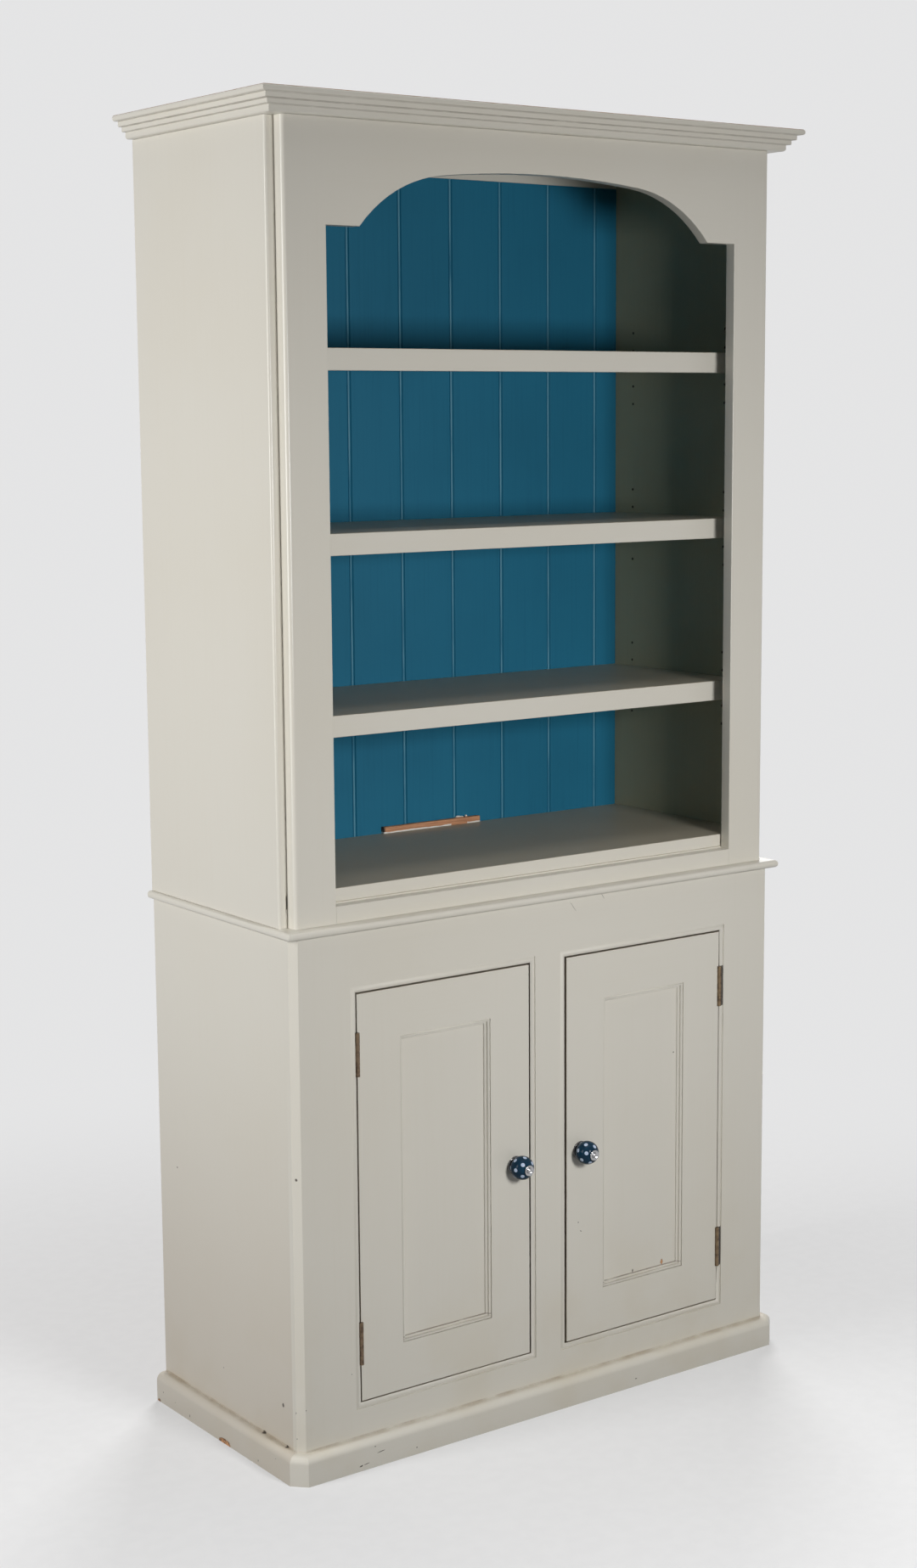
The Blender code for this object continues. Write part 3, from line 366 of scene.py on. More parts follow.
# inside faces of the bookcase sides: a darker olive copy of the cream, partly painted shade
oliveLook = {
    "paint": (0.425, 0.390, 0.250, 1.0),
    "worn": (0.505, 0.455, 0.305, 1.0),
    "edge": (0.655, 0.615, 0.500, 1.0),  # lighter towards the front edge: painted light
    "edgeFrom": faceY + 0.030,
    "edgeTo": faceY + 0.120,
    "edgeWaver": 0.02,
    "gloss": 0.50,
    "strokeDepth": 0.00002,
}


def olivePaint():
    look = oliveLook
    finish, shader, spot = newFinish("olive_inside")
    mottle = cloud(spot, 4.0, 4.0)
    brush = streaks(spot, strokesUp, 4.0)
    worn = band(mottle, 0.35, 0.75) * 0.5 + band(brush, 0.45, 0.80) * 0.2
    colour = blend(worn, look["paint"], look["worn"])
    # painted light: the wall turns lighter towards the front edge
    depth = axisOf(spot, "Y") + (mottle - 0.5) * look["edgeWaver"]
    colour = blend(1 - band(depth, look["edgeFrom"], look["edgeTo"]), colour, look["edge"])
    rough = mottle * 0.08 + (look["gloss"] - 0.04)
    feed(shader, colour=colour, roughness=rough, normal=relief(brush * look["strokeDepth"]))
    return finish


boarding = {
    "pitch": 0.1085, "joints": 4,
    "bead": 0.0030, "beadFoot": 0.0002, "drop": 0.0002,
    "quirk": 0.0013, "quirkDepth": 0.0024, "lip": 0.0008, "lipDepth": 0.0006,
    "rearShift": 0.004, "rearMouth": 0.0011, "rearFoot": 0.0004, "rearDepth": 0.0030, "rearFrom": 0.6,
}
tealLook = {
    "paint": (0.0125, 0.154, 0.262, 1.0),
    "deep": (0.0075, 0.114, 0.200, 1.0),
    "crestHighlight": (0.100, 0.290, 0.400, 1.0),  # painted highlight along the bead crests, with some wear
    "crestShift": 0.0005,
    "crestReach": (0.0007, 0.0022),
    "gloss": 0.60,
    "shine": 0.22,
    "strokeDepth": 0.00007,
    "stippleDepth": 0.00002,
}


def tealPaint():
    look = tealLook
    finish, shader, spot = newFinish("teal_boards")
    mottle = cloud(spot, 3.1, 4.0)
    brush = streaks(spot, strokesUp, 4.0)
    stipple = cloud(spot, 480.0, 2.0)
    deep = band(mottle, 0.35, 0.75) * 0.45 + band(brush, 0.45, 0.80) * 0.25
    colour = blend(deep, look["paint"], look["deep"])
    # painted highlight along each bead, set a little to one side of its crest
    fromJoint = spot.sum("PINGPONG", axisOf(spot, "X") + look["crestShift"], boarding["pitch"] / 2)
    rubbed = streaks(spot, (60.0, 60.0, 9.0), 4.0)
    crestHighlight = (1 - band(fromJoint, *look["crestReach"])) * band(rubbed, 0.22, 0.58)
    colour = blend(crestHighlight * 0.85, colour, look["crestHighlight"])
    rough = mottle * 0.10 + brush * 0.08 - crestHighlight * 0.14 + (look["gloss"] - 0.09)
    rise = brush * look["strokeDepth"] + stipple * look["stippleDepth"]
    shader.inputs["Specular IOR Level"].default_value = look["shine"]
    feed(shader, colour=colour, roughness=rough, normal=relief(rise))
    return finish


battenLow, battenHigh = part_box("back_batten")
battenLook = {
    "light": (0.600, 0.300, 0.155, 1.0),
    "dark": (0.370, 0.160, 0.078, 1.0),
    # painted shadow at the sawn end
    "endShadow": (0.035, 0.022, 0.016, 1.0),
    "paint": (0.760, 0.740, 0.690, 1.0),
    "paintHeight": 0.0027,
    "paintWaver": 0.0042,
    "paintFade": 0.0002,
    "torn": (0.70, 0.86),  # where along its length the paint has come away
    "tornFade": 0.01,
    "flakesFrom": (0.0003, 0.0001),  # below the top
    "endShadowReach": (0.006, 0.022),  # along from the sawn end
    "endShadowWaver": 0.02,
}


def battenWood():
    look = battenLook
    finish, shader, spot = newFinish("raw_batten")
    grain = streaks(spot, (14.0, 620.0, 620.0), 5.0)
    pores = streaks(spot, (60.0, 1500.0, 1500.0), 3.0)
    along = (axisOf(spot, "X") - battenLow.x) * (1 / (battenHigh.x - battenLow.x))
    height = axisOf(spot, "Z") - battenLow.z
    waver = (streaks(spot, (38.0, 5.0, 5.0), 3.0) - 0.5) * look["paintWaver"]
    edge = look["paintHeight"] + waver
    start, stop = look["torn"]
    torn = band(along, start - look["tornFade"], start) * (1 - band(along, stop, stop + look["tornFade"]))
    paint = (1 - band(height - edge, -look["paintFade"], look["paintFade"])) * (1 - torn)
    top = battenHigh.z - battenLow.z
    flakes = band(height, top - look["flakesFrom"][0], top - look["flakesFrom"][1])
    paint = paint + flakes * (1 - paint)
    # painted shadow darkening the wood towards the sawn end
    fromEnd = along + (cloud(spot, 260.0) - 0.5) * look["endShadowWaver"]
    endShadowy = 1 - band(fromEnd, *look["endShadowReach"])
    colour = blend(band(grain, 0.38, 0.66), look["light"], look["dark"])
    colour = blend(band(pores, 0.55, 0.75) * 0.5, colour, look["dark"])
    colour = blend(endShadowy * 0.8, colour, look["endShadow"])
    colour = blend(paint, colour, look["paint"])
    rise = grain * 0.0002 + pores * 0.0001 + paint * 0.0002
    feed(shader, colour=colour, roughness=0.72 - paint * 0.25, normal=relief(rise))
    return finish


boardLook = {
    "light": (0.490, 0.360, 0.225, 1.0),
    "dark": (0.345, 0.235, 0.135, 1.0),
    "pale": (0.600, 0.465, 0.300, 1.0),
    "dust": (0.310, 0.280, 0.240, 1.0),
    "ringShare": 0.16,  # the rings are that much coarser than the fibre
}


def bareBoard(name, grainRun, pitch=0.0):
    look = boardLook
    finish, shader, spot = newFinish(name)
    rings = streaks(spot, [value * look["ringShare"] for value in grainRun], 5.0)
    fibre = cloud(spot.vector("MULTIPLY", grainRun), 2.2, 4.0)
    dust = cloud(spot, 5.0, 6.0)
    colour = blend(band(rings, 0.38, 0.64), look["light"], look["dark"])
    if pitch:  # each board was cut from a different plank
        number = spot.sum("FLOOR", (axisOf(spot, "X") - boarding["rearShift"]) * (1 / pitch), 0.0)
        plank = spot.node("ShaderNodeTexWhiteNoise", {"noise_dimensions": "1D"}, {"W": number})
        colour = blend(plank * 0.45, colour, look["pale"])
    colour = blend(band(fibre, 0.50, 0.75) * 0.45, colour, look["dark"])
    colour = blend(band(dust, 0.48, 0.72) * 0.40, colour, look["dust"])
    rise = fibre * 0.00012 + rings * 0.00008
    feed(shader, colour=colour, roughness=0.66 + dust * 0.2, normal=relief(rise))
    return finish


brassLook = {
    "left": {"bright": (0.185, 0.130, 0.083, 1.0), "brown": (0.083, 0.055, 0.038, 1.0), "tarnish": 0.20},
    "right": {"bright": (0.200, 0.143, 0.083, 1.0), "brown": (0.085, 0.055, 0.035, 1.0), "tarnish": 0.17},
}


def agedBrass(side):
    look = brassLook[side]
    finish, shader, spot = newFinish("aged_brass_" + side)
    patina = cloud(spot, 110.0, 3.0)
    rubbed = streaks(spot, (900.0, 900.0, 60.0), 3.0)
    brown = band(patina + rubbed * 0.30, 0.70 - look["tarnish"], 1.05 - look["tarnish"])
    colour = blend(brown, look["bright"], look["brown"])
    rise = patina * 0.00006 + rubbed * 0.00003
    shader.inputs["Metallic"].default_value = 0.75
    feed(shader, colour=colour, roughness=0.34 + brown * 0.26, normal=relief(rise))
    return finish


# chrome colours kept dark to paint the room's dark reflection, the rose darkest
chromeLook = {
    "cap": {"bright": (0.430, 0.430, 0.440, 1.0), "dull": (0.170, 0.155, 0.140, 1.0)},
    "rose": {"bright": (0.130, 0.127, 0.127, 1.0), "dull": (0.045, 0.040, 0.036, 1.0)},
}


def chromePlate(part):
    look = chromeLook[part]
    finish, shader, spot = newFinish("worn_chrome_painted_dark_" + part)
    pits = cloud(spot, 900.0, 4.0)
    haze = cloud(spot, 120.0, 3.0)
    dull = band(haze, 0.48, 0.72) * 0.6 + band(pits, 0.62, 0.75) * 0.4
    colour = blend(dull, look["bright"], look["dull"])
    shader.inputs["Metallic"].default_value = 1.0
    feed(shader, colour=colour, roughness=0.06 + dull * 0.16, normal=relief(pits * 0.000012))
    return finish


catchLook = {"bright": (0.520, 0.520, 0.510, 1.0), "rust": (0.240, 0.150, 0.090, 1.0)}


def catchSteel():
    look = catchLook
    finish, shader, spot = newFinish("catch_steel")
    lines = streaks(spot, (30.0, 900.0, 900.0), 3.0)
    rust = band(cloud(spot, 60.0, 5.0), 0.58, 0.74)
    colour = blend(rust, look["bright"], look["rust"])
    rough = 0.28 + lines * 0.2 + rust * 0.3
    shader.inputs["Metallic"].default_value = 0.9
    feed(shader, colour=colour, roughness=rough, normal=relief(lines * 0.00003))
    return finish


knobLook = {
    "glaze": (0.002, 0.022, 0.048, 1.0),
    "glazeLight": (0.003, 0.034, 0.070, 1.0),
    "dot": (0.420, 0.520, 0.700, 1.0),
    "dotLight": (0.500, 0.590, 0.740, 1.0),
    "shine": 0.14,
    "ballRadius": 0.0200,
    "ballMiddle": 0.01875,  # in front of the door
    "dotRadius": 0.165,  # of the ball's radius
    "dotWaver": 0.0007,
    "dotFade": 0.00025,
    "rows": (0.715, 0.330, -0.080, -0.470),  # how far towards the front each ring of dots sits
    "perRow": 4,
    "firstDot": {"left": 42.5, "right": 70.0},
    "middle": {"left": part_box("knob_left_ball"), "right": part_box("knob_right_ball")},
}


def spottedGlaze(side):
    look = knobLook
    finish, shader, spot = newFinish("spotted_glaze_" + side)
    low, high = look["middle"][side]
    centre = Vector(((low.x + high.x) / 2, faceY - look["ballMiddle"], (low.z + high.z) / 2))
    wobble = cloud(spot, 420.0, 2.0)
    reaches = []
    for row, forward in enumerate(look["rows"]):
        around = math.sqrt(1 - forward ** 2)
        for step in range(look["perRow"]):  # each ring starts half a step on from the last
            turn = 360 / look["perRow"] * (step + row / 2)
            angle = math.radians(look["firstDot"][side] + turn)
            outward = Vector((around * math.cos(angle), -forward, around * math.sin(angle)))
            reaches.append(spot.vector("DISTANCE", centre + outward * look["ballRadius"], "Value"))
    size = look["ballRadius"] * look["dotRadius"]
    fromDot = least(reaches) + (wobble - 0.5) * look["dotWaver"]
    dots = 1 - band(fromDot, size - look["dotFade"], size + look["dotFade"])
    glaze = blend(band(cloud(spot, 110.0, 3.0), 0.35, 0.70), look["glaze"], look["glazeLight"])
    dotColour = blend(band(cloud(spot, 700.0, 2.0), 0.35, 0.65), look["dot"], look["dotLight"])
    colour = blend(dots, glaze, dotColour)
    rise = dots * 0.00005 + wobble * 0.00003
    shader.inputs["Specular IOR Level"].default_value = look["shine"]
    feed(shader, colour=colour, roughness=0.10 + wobble * 0.08, normal=relief(rise))
    return finish


grainAlong = (6.0, 170.0, 170.0)
grainUp = (150.0, 150.0, 5.0)
teal = tealPaint()
olive = olivePaint()
rawBatten = battenWood()
topBoard = bareBoard("bare_top_board", grainAlong)
backBoard = bareBoard("bare_back_board", grainUp)
boards = bareBoard("bare_back_boards", grainUp, boarding["pitch"])
holeShade = creamPaint("shaded_pin_holes", strokesUp, tone=(0.040, 0.032, 0.024, 1.0))
brass = {side: agedBrass(side) for side in sides}
chrome = {part: chromePlate(part) for part in chromeLook}
steel = catchSteel()
glaze = {side: spottedGlaze(side) for side in sides}
print("finishes ready:", len(bpy.data.materials))


tolerance = {
    "weld": 0.00001,
    "spinWeld": 0.000005,
    "flat": 0.4,  # degrees between faces that are one flat
    "corner": 0.6,  # radians from which an edge is worth easing
    "glue": 0.0003,  # hairline at a glued joint
    "level": 0.0004,
    "easedEnd": 0.0014,
    "edgeOn": 0.1,
    "facing": 0.5,
}


def joined(node):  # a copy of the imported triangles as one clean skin
    bm = bmesh.new()
    bm.from_mesh(nodes[node].data)
    bmesh.ops.remove_doubles(bm, verts=bm.verts, dist=tolerance["weld"])
    flat = math.radians(tolerance["flat"])
    bmesh.ops.dissolve_limit(bm, angle_limit=flat, verts=bm.verts, edges=bm.edges)
    return bm


def grow(bm, axis, ends):  # closes the hairline at a glued joint
    spread = [vert.co[axis] for vert in bm.verts]
    middle = (min(spread) + max(spread)) / 2
    for end in ends:
        moved = [vert for vert in bm.verts if (vert.co[axis] - middle) * end > 0]
        shift = [end * tolerance["glue"] if index == axis else 0.0 for index in range(3)]
        bmesh.ops.translate(bm, verts=moved, vec=shift)


def ease(bm, width, wanted, segments=3):  # takes the sharpness off the edges that a hand meets
    chosen = []
    for edge in bm.edges:
        if len(edge.link_faces) != 2 or edge.calc_face_angle() < tolerance["corner"]:
            continue
        run = edge.verts[1].co - edge.verts[0].co
        along = max(range(3), key=lambda index: abs(run[index]))
        if wanted((edge.verts[0].co + edge.verts[1].co) / 2, along):
            chosen.append(edge)
    bmesh.ops.bevel(
        bm, geom=chosen, offset=width, offset_type="OFFSET", affect="EDGES",
        segments=segments, profile=0.5, material=-1, clamp_overlap=True,
    )


def settle(name, bm, finishes, replaced, smooth=34, easedTo=()):
    mesh = bpy.data.meshes.new(name)
    bm.to_mesh(mesh)
    bm.free()
    for finish in finishes:
        mesh.materials.append(finish)
    mesh.shade_smooth()
    mesh.set_sharp_from_angle(angle=math.radians(smooth))
    for level in easedTo:  # the shading breaks where an eased edge ends
        for edge in mesh.edges:
            ends = [mesh.vertices[index].co.z for index in edge.vertices]
            if all(abs(end - level) < tolerance["easedEnd"] for end in ends):
                edge.use_edge_sharp = True
    piece = bpy.data.objects.new(name, mesh)
    bpy.context.scene.collection.objects.link(piece)
    weighted = piece.modifiers.new("flats stay flat", "WEIGHTED_NORMAL")
    weighted.keep_sharp = True
    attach(piece, bodyOf[replaced[0]])
    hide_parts(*replaced)


def painted(node, bm, looks, smooth=34, easedTo=()):
    finishes = [cream[look] for look in looks]
    settle(node + "_painted", bm, finishes, [node], smooth, easedTo)


def near(value, target):
    return abs(value - target) < tolerance["level"]


def anyEdge(spot, along):
    return True


def acrossEdge(spot, along):
    return along == acrossAxis


def edgeOn(face):  # neither the front nor the back of a piece
    return abs(face.normal.y) < tolerance["edgeOn"]


def looksUp(face):
    return face.normal.z > tolerance["facing"]


def looksDown(face):
    return face.normal.z < -tolerance["facing"]


def secondFinish(bm, wanted):
    for face in bm.faces:
        if wanted(face):
            face.material_index = 1


def dress(node, looks, smooth=34, glued=None, second=None, eased=None):
    bm = joined(node)
    if glued:
        grow(bm, *glued)
    if second:
        secondFinish(bm, second)
    if eased:
        ease(bm, *eased)
    painted(node, bm, looks, smooth)


# Cupboard: painted case, frame, beads and plinth
cupboardShape = {
    "sideEase": 0.0010, "stileEase": 0.0006, "boardEase": 0.0012, "backEase": 0.0008,
    "sideOuter": 0.499, "sideRear": 0.2,  # only the outer rear corner of a side is eased
    "stileOuter": 0.47, "splay": 0.002,  # and only the splay of a stile
    "inward": 0.02, "mitre": 0.00021, "mitreFrom": 0.002,
}
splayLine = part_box("cupboard_side_left")[0].y


def rearCorner(spot, along):
    outside = abs(spot.x) > cupboardShape["sideOuter"]
    return along == heightAxis and outside and spot.y > cupboardShape["sideRear"]


def splayEdge(spot, along):
    outside = abs(spot.x) > cupboardShape["stileOuter"]
    return along == heightAxis and outside and spot.y < splayLine - cupboardShape["splay"]


def facesOpening(face, side):
    low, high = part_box("cock_bead_" + side)
    outward = face.normal.dot(face.calc_center_median() - (low + high) / 2)
    return outward < -cupboardShape["inward"] and edgeOn(face)


shape = cupboardShape
for side in sides:
    dress("cupboard_side_" + side, ["sideUp"], glued=frontJoint, eased=(shape["sideEase"], rearCorner))
    dress("cupboard_stile_" + side, ["wornUp"], 50, eased=(shape["stileEase"], splayEdge))
    # the bead's faces towards the opening take the gap's painted shade
    dress("cock_bead_" + side, ["bead", "gapShade"], 40, second=lambda face: facesOpening(face, side))
for node in ("cupboard_top_rail", "cupboard_bottom_rail"):
    dress(node, ["wornAcross"], glued=acrossJoints)
dress("cupboard_muntin", ["up"], glued=uprightJoints)
for node in ("cupboard_floor", "cupboard_shelf"):
    dress(node, ["across"], eased=(shape["boardEase"], acrossEdge))
bm = joined("cupboard_back")
ease(bm, shape["backEase"], anyEdge)
settle("cupboard_back_bare", bm, [backBoard], ["cupboard_back"])
dress("waist_board", ["across"], 50)

for side in sides:
    dress("plinth_" + side, ["plinthSide"], 40, glued=frontJoint)
bm = joined("plinth_front")
mitreLine, mitre = faceY + shape["mitreFrom"], shape["mitre"]
for end in bothEnds:  # closes the mitres with the sides of the plinth
    moved = [vert for vert in bm.verts if vert.co.x * end > 0 and vert.co.y > mitreLine]
    bmesh.ops.translate(bm, verts=moved, vec=(end * mitre, mitre, 0.0))
painted("plinth_front", bm, ["plinthFront"], 40)
print("cupboard dressed")

# Doors
hung = 0.0010  # each door has been set closer to its hinges than to the middle
doorEase = 0.0008
doorParts = {"hinge_stile": "doorUp", "lock_stile": "doorUp", "top_rail": "across", "bottom_rail": "across"}
for side in sides:
    prefix = f"door_{side}_"
    stileLow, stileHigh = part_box(prefix + "hinge_stile")
    lockLow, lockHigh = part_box(prefix + "lock_stile")
    outer = max(abs(stileLow.x), abs(stileHigh.x))
    inner = min(abs(lockLow.x), abs(lockHigh.x))
    doorLow, doorHigh = stileLow.z, stileHigh.z

    def atRim(spot):
        ends = near(spot.z, doorLow) or near(spot.z, doorHigh)
        return ends or near(abs(spot.x), outer + hung) or near(abs(spot.x), inner + hung)

    def rimEdge(spot, along):
        return along != depthAxis and atRim(spot)

    def rimFace(face):
        return atRim(face.calc_center_median()) and edgeOn(face)

    for part, look in doorParts.items():
        bm = joined(prefix + part)
        if part.endswith("stile"):
            for vert in bm.verts:
                if near(abs(vert.co.x), outer) or near(abs(vert.co.x), inner):
                    vert.co.x += math.copysign(hung, vert.co.x)
        else:
            grow(bm, *acrossJoints)
        # the rim faces of each door take the gap's painted shade
        secondFinish(bm, rimFace)
        ease(bm, doorEase, rimEdge)
        painted(prefix + part, bm, [look, "gapShade"])
    dress(prefix + "panel", ["doorUp"])
    dress(prefix + "moulding", ["moulding"], 40)
print("doors dressed")


def turnedAbout(centre, profile, axis, steps=64):
    # profile of (radius, distance along the axis) points
    bm = bmesh.new()
    out = Vector((1, 0, 0))
    verts = [bm.verts.new(Vector(centre) + out * radius + Vector(axis) * run) for radius, run in profile]
    edges = [bm.edges.new(pair) for pair in zip(verts, verts[1:])]
    bmesh.ops.spin(
        bm, geom=verts + edges, cent=centre, axis=axis, dvec=(0, 0, 0),
        angle=2 * math.pi, steps=steps, use_merge=True, use_duplicate=False,
    )
    bmesh.ops.remove_doubles(bm, verts=bm.verts, dist=tolerance["spinWeld"])
    bmesh.ops.recalc_face_normals(bm, faces=bm.faces)
    return bm


def sweep(middle, across, up, start, end, steps):
    angles = [math.radians(start + (end - start) * step / steps) for step in range(steps + 1)]
    return [(middle[0] + across * math.cos(angle), middle[1] + up * math.sin(angle)) for angle in angles]


# Knobs: chrome rose, glazed ball, cupped cap with a domed screw head
knobShape = {
    "rose": 0.0158, "roseHeight": 0.0050, "neck": 0.0118, "offDoor": 0.0003,
    "lip": 0.0006, "lipIn": 0.0022, "cove": 0.0010, "coveIn": 0.0004, "coveDrop": 0.0014,
    "skirt": 0.0018, "skirtIn": 0.0002, "skirtFoot": 0.0010, "rim": 0.0009,
    "rearSeat": 0.0148, "frontSeat": 0.0095,
    "cap": 0.0090, "capSeat": 0.0070, "capStart": 0.03665, "capEnd": 0.03965, "capRound": 0.0010,
    "dome": 0.0036, "domeSunk": 0.0002, "tip": 0.04145,
    "cupWall": 0.0012, "cupFloor": 0.0014, "cupStep": 0.0004, "cupIn": 0.0024, "cupRound": (0.0012, 0.0008),
    "screw": 0.0020, "bite": 0.016, "point": 0.003,
}
forward = (0, -1, 0)
shape = knobShape
for side in sides:
    low, high = knobLook["middle"][side]
    base = Vector(((low.x + high.x) / 2, faceY, (low.z + high.z) / 2))

    top, neck, wide = shape["roseHeight"], shape["neck"], shape["rose"]
    lip, lipAt, cove = shape["lip"], neck - shape["lipIn"], shape["cove"]
    rose = [(0.0, top), (lipAt, top)]
    rose += sweep((lipAt, top - lip), lip, lip, 90, 0, 4)
    rose += sweep((neck - shape["coveIn"], top - shape["coveDrop"]), cove, cove, 180, 260, 4)
    rose += sweep((neck, shape["skirtFoot"]), wide - neck - shape["skirtIn"], shape["skirt"], 90, 0, 8)
    rose += [(wide, shape["rim"]), (wide, shape["offDoor"]), (0.0, shape["offDoor"])]
    bm = turnedAbout(base, rose, forward)
    settle(f"knob_{side}_rose_turned", bm, [chrome["rose"]], [f"knob_{side}_rose"], 40)

    radius = knobLook["ballRadius"]
    front = math.degrees(math.acos(shape["frontSeat"] / radius))
    rear = -math.degrees(math.acos(shape["rearSeat"] / radius))
    ball = sweep((0.0, knobLook["ballMiddle"]), radius, radius, front, rear, 40)
    ball = [(0.0, ball[0][1])] + ball + [(0.0, ball[-1][1])]
    bm = turnedAbout(base, ball, forward, 96)
    settle(f"knob_{side}_ball_glazed", bm, [glaze[side]], [f"knob_{side}_ball"], 40)

    tip, end, cap, dome = shape["tip"], shape["capEnd"], shape["cap"], shape["dome"]
    cupWide, cupDeep = shape["cupRound"]
    curve = shape["capRound"]
    screw = sweep((0.0, end - shape["domeSunk"]), dome, tip - end + shape["domeSunk"], 90, 0, 10)
    screw += [(dome, end - shape["cupWall"]), (dome + shape["cupStep"], end - shape["cupFloor"])]
    screw += sweep((cap - shape["cupIn"], end - cupDeep), cupWide, cupDeep, 180, 90, 5)[1:]
    screw += sweep((cap - curve, end - curve), curve, curve, 90, 0, 6)
    screw += [(shape["capSeat"], shape["capStart"]), (shape["screw"], shape["capStart"])]
    screw += [(shape["screw"], -shape["bite"] + shape["point"]), (0.0, -shape["bite"])]
    bm = turnedAbout(base, screw, forward)
    settle(f"knob_{side}_cap_turned", bm, [chrome["cap"]], [f"knob_{side}_screw"], 40)
print("knobs turned")


# Butt hinges: each leaf with its knuckles, and slotted screws that show when the door is open
hingeShape = {
    "half": 0.0355, "joint": 0.0180, "clear": 0.0003, "knuckle": 0.0035, "soft": 0.0005,
    "gap": 0.0012, "leaf": 0.0016, "plateFront": 0.0040, "back": 0.0195, "plateSoft": 0.0003,
    "tongueLap": 0.0006, "tongueSoft": 0.0002, "pin": 0.0015, "pinLap": 0.001,
    "screws": (-0.0245, 0.0, 0.0245), "screwBack": 0.0120, "head": 0.0031, "headRound": 0.0003,
    "proud": 0.0004, "slot": 0.0004, "slotDepth": 0.0006, "slotTurn": 35,
}
upward = (0, 0, 1)


def addTo(bm, other):
    mesh = bpy.data.meshes.new("loose")
    other.to_mesh(mesh)
    other.free()
    bm.from_mesh(mesh)
    bpy.data.meshes.remove(mesh)


def vertsOf(items):
    return [item for item in items if isinstance(item, bmesh.types.BMVert)]


def plate(low, high, soft):
    bm = bmesh.new()
    bmesh.ops.create_cube(bm, size=1.0)
    bmesh.ops.scale(bm, verts=bm.verts, vec=[abs(b - a) for a, b in zip(low, high)])
    bmesh.ops.translate(bm, verts=bm.verts, vec=[(a + b) / 2 for a, b in zip(low, high)])
    ease(bm, soft, anyEdge, 2)
    return bm


def screwHead(centre, facing):
    shape = hingeShape
    crown = sweep((shape["head"] - shape["headRound"], 0.0), shape["headRound"], shape["proud"], 90, 0, 3)
    head = turnedAbout((0, 0, 0), [(0.0, shape["proud"])] + crown, upward, 20)
    turn = Matrix.Rotation(math.radians(90 * facing), 4, "Y")
    turn = turn @ Matrix.Rotation(math.radians(shape["slotTurn"]), 4, "Z")
    for end in bothEnds:  # two cheeks with the slot between them
        half = head.copy()
        cut = bmesh.ops.bisect_plane(
            half, geom=half.verts[:] + half.edges[:] + half.faces[:], plane_co=(0, end * shape["slot"], 0),
            plane_no=(0, -end, 0), clear_outer=True, clear_inner=False,
        )
        lips = [item for item in cut["geom_cut"] if isinstance(item, bmesh.types.BMEdge)]
        grown = bmesh.ops.extrude_edge_only(half, edges=lips)["geom"]
        bmesh.ops.translate(half, verts=vertsOf(grown), vec=(0, 0, -shape["slotDepth"]))
        bmesh.ops.transform(half, matrix=Matrix.Translation(centre) @ turn, verts=half.verts)
        yield half
    head.free()


def hingeLeaf(pin, hand, leaf):
    shape = hingeShape
    half, inner, soft = shape["half"], shape["joint"], shape["soft"]
    inside, outside = pin.x + hand * shape["gap"], pin.x + hand * (shape["gap"] + shape["leaf"])
    plateFront, barrel = pin.y + shape["plateFront"], shape["knuckle"] - soft
    low, high = (inside, plateFront, pin.z - half), (outside, pin.y + shape["back"], pin.z + half)
    bm = plate(low, high, shape["plateSoft"])
    runs = [(-inner, inner)]
    if leaf == "frame":  # a knuckle at each end, with the door's between them
        runs = [(-half, -inner - shape["clear"]), (inner + shape["clear"], half)]
    for start, end in runs:
        low, high = (inside, pin.y, pin.z + start), (outside, plateFront + shape["tongueLap"], pin.z + end)
        addTo(bm, plate(low, high, shape["tongueSoft"]))
        knuckle = [(0.0, start), (barrel, start)]
        knuckle += sweep((barrel, start + soft), soft, soft, -90, 0, 4)
        knuckle += sweep((barrel, end - soft), soft, soft, 0, 90, 4)
        knuckle.append((0.0, end))
        addTo(bm, turnedAbout(pin, knuckle, upward, 32))
    if leaf == "frame":  # the pin through the middle knuckle
        reach, radius = inner + shape["pinLap"], shape["pin"]
        rod = [(0.0, -reach), (radius, -reach), (radius, reach), (0.0, reach)]
        addTo(bm, turnedAbout(pin, rod, upward, 24))
    for drop in shape["screws"]:
        centre = Vector((inside, pin.y + shape["screwBack"], pin.z + drop))
        for cheek in screwHead(centre, -hand):
            addTo(bm, cheek)
    return bm


for side, sign in zip(sides, bothEnds):
    joint = next(item for item in frame["joints"] if item["name"] == f"door_{side}_hinge")
    for level in ("upper", "lower"):
        low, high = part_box(f"hinge_{side}_{level}_frame_leaf")
        pin = Vector((joint["pos_m"][0], joint["pos_m"][1], (low.z + high.z) / 2))
        for leaf, hand in (("frame", sign), ("door", -sign)):
            node = f"hinge_{side}_{level}_{leaf}_leaf"
            settle(node + "_dressed", hingeLeaf(pin, hand, leaf), [brass[side]], [node], 40)
print("hinges dressed")

# Bookcase case, frame, floor, shelves and cornice
bookcaseShape = {
    "inner": 0.484,  # inside face of a side
    "pinClear": 0.0003, "holeClear": 0.0005, "holeArea": 0.00005,
    "mouthEase": 0.0012, "mouthClear": 0.001, "archClear": 0.01, "boardEase": 0.0010, "shelfEase": 0.0013,
}
archLow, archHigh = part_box("arched_frieze")
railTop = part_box("bookcase_bottom_rail")[1].z
mouthHalf = min(abs(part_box("bookcase_stile_right")[0].x), abs(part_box("bookcase_stile_right")[1].x))
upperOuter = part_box("bookcase_side_right")[1].x


def mouthEdge(spot, along):
    return along == heightAxis and near(abs(spot.x), mouthHalf) and railTop < spot.z < archLow.z


def archEdge(spot, along):
    within = abs(spot.x) < mouthHalf - bookcaseShape["mouthClear"]
    return along != depthAxis and within and spot.z < archHigh.z - bookcaseShape["archClear"]


def railEdge(spot, along):
    return along == acrossAxis and near(spot.z, railTop)


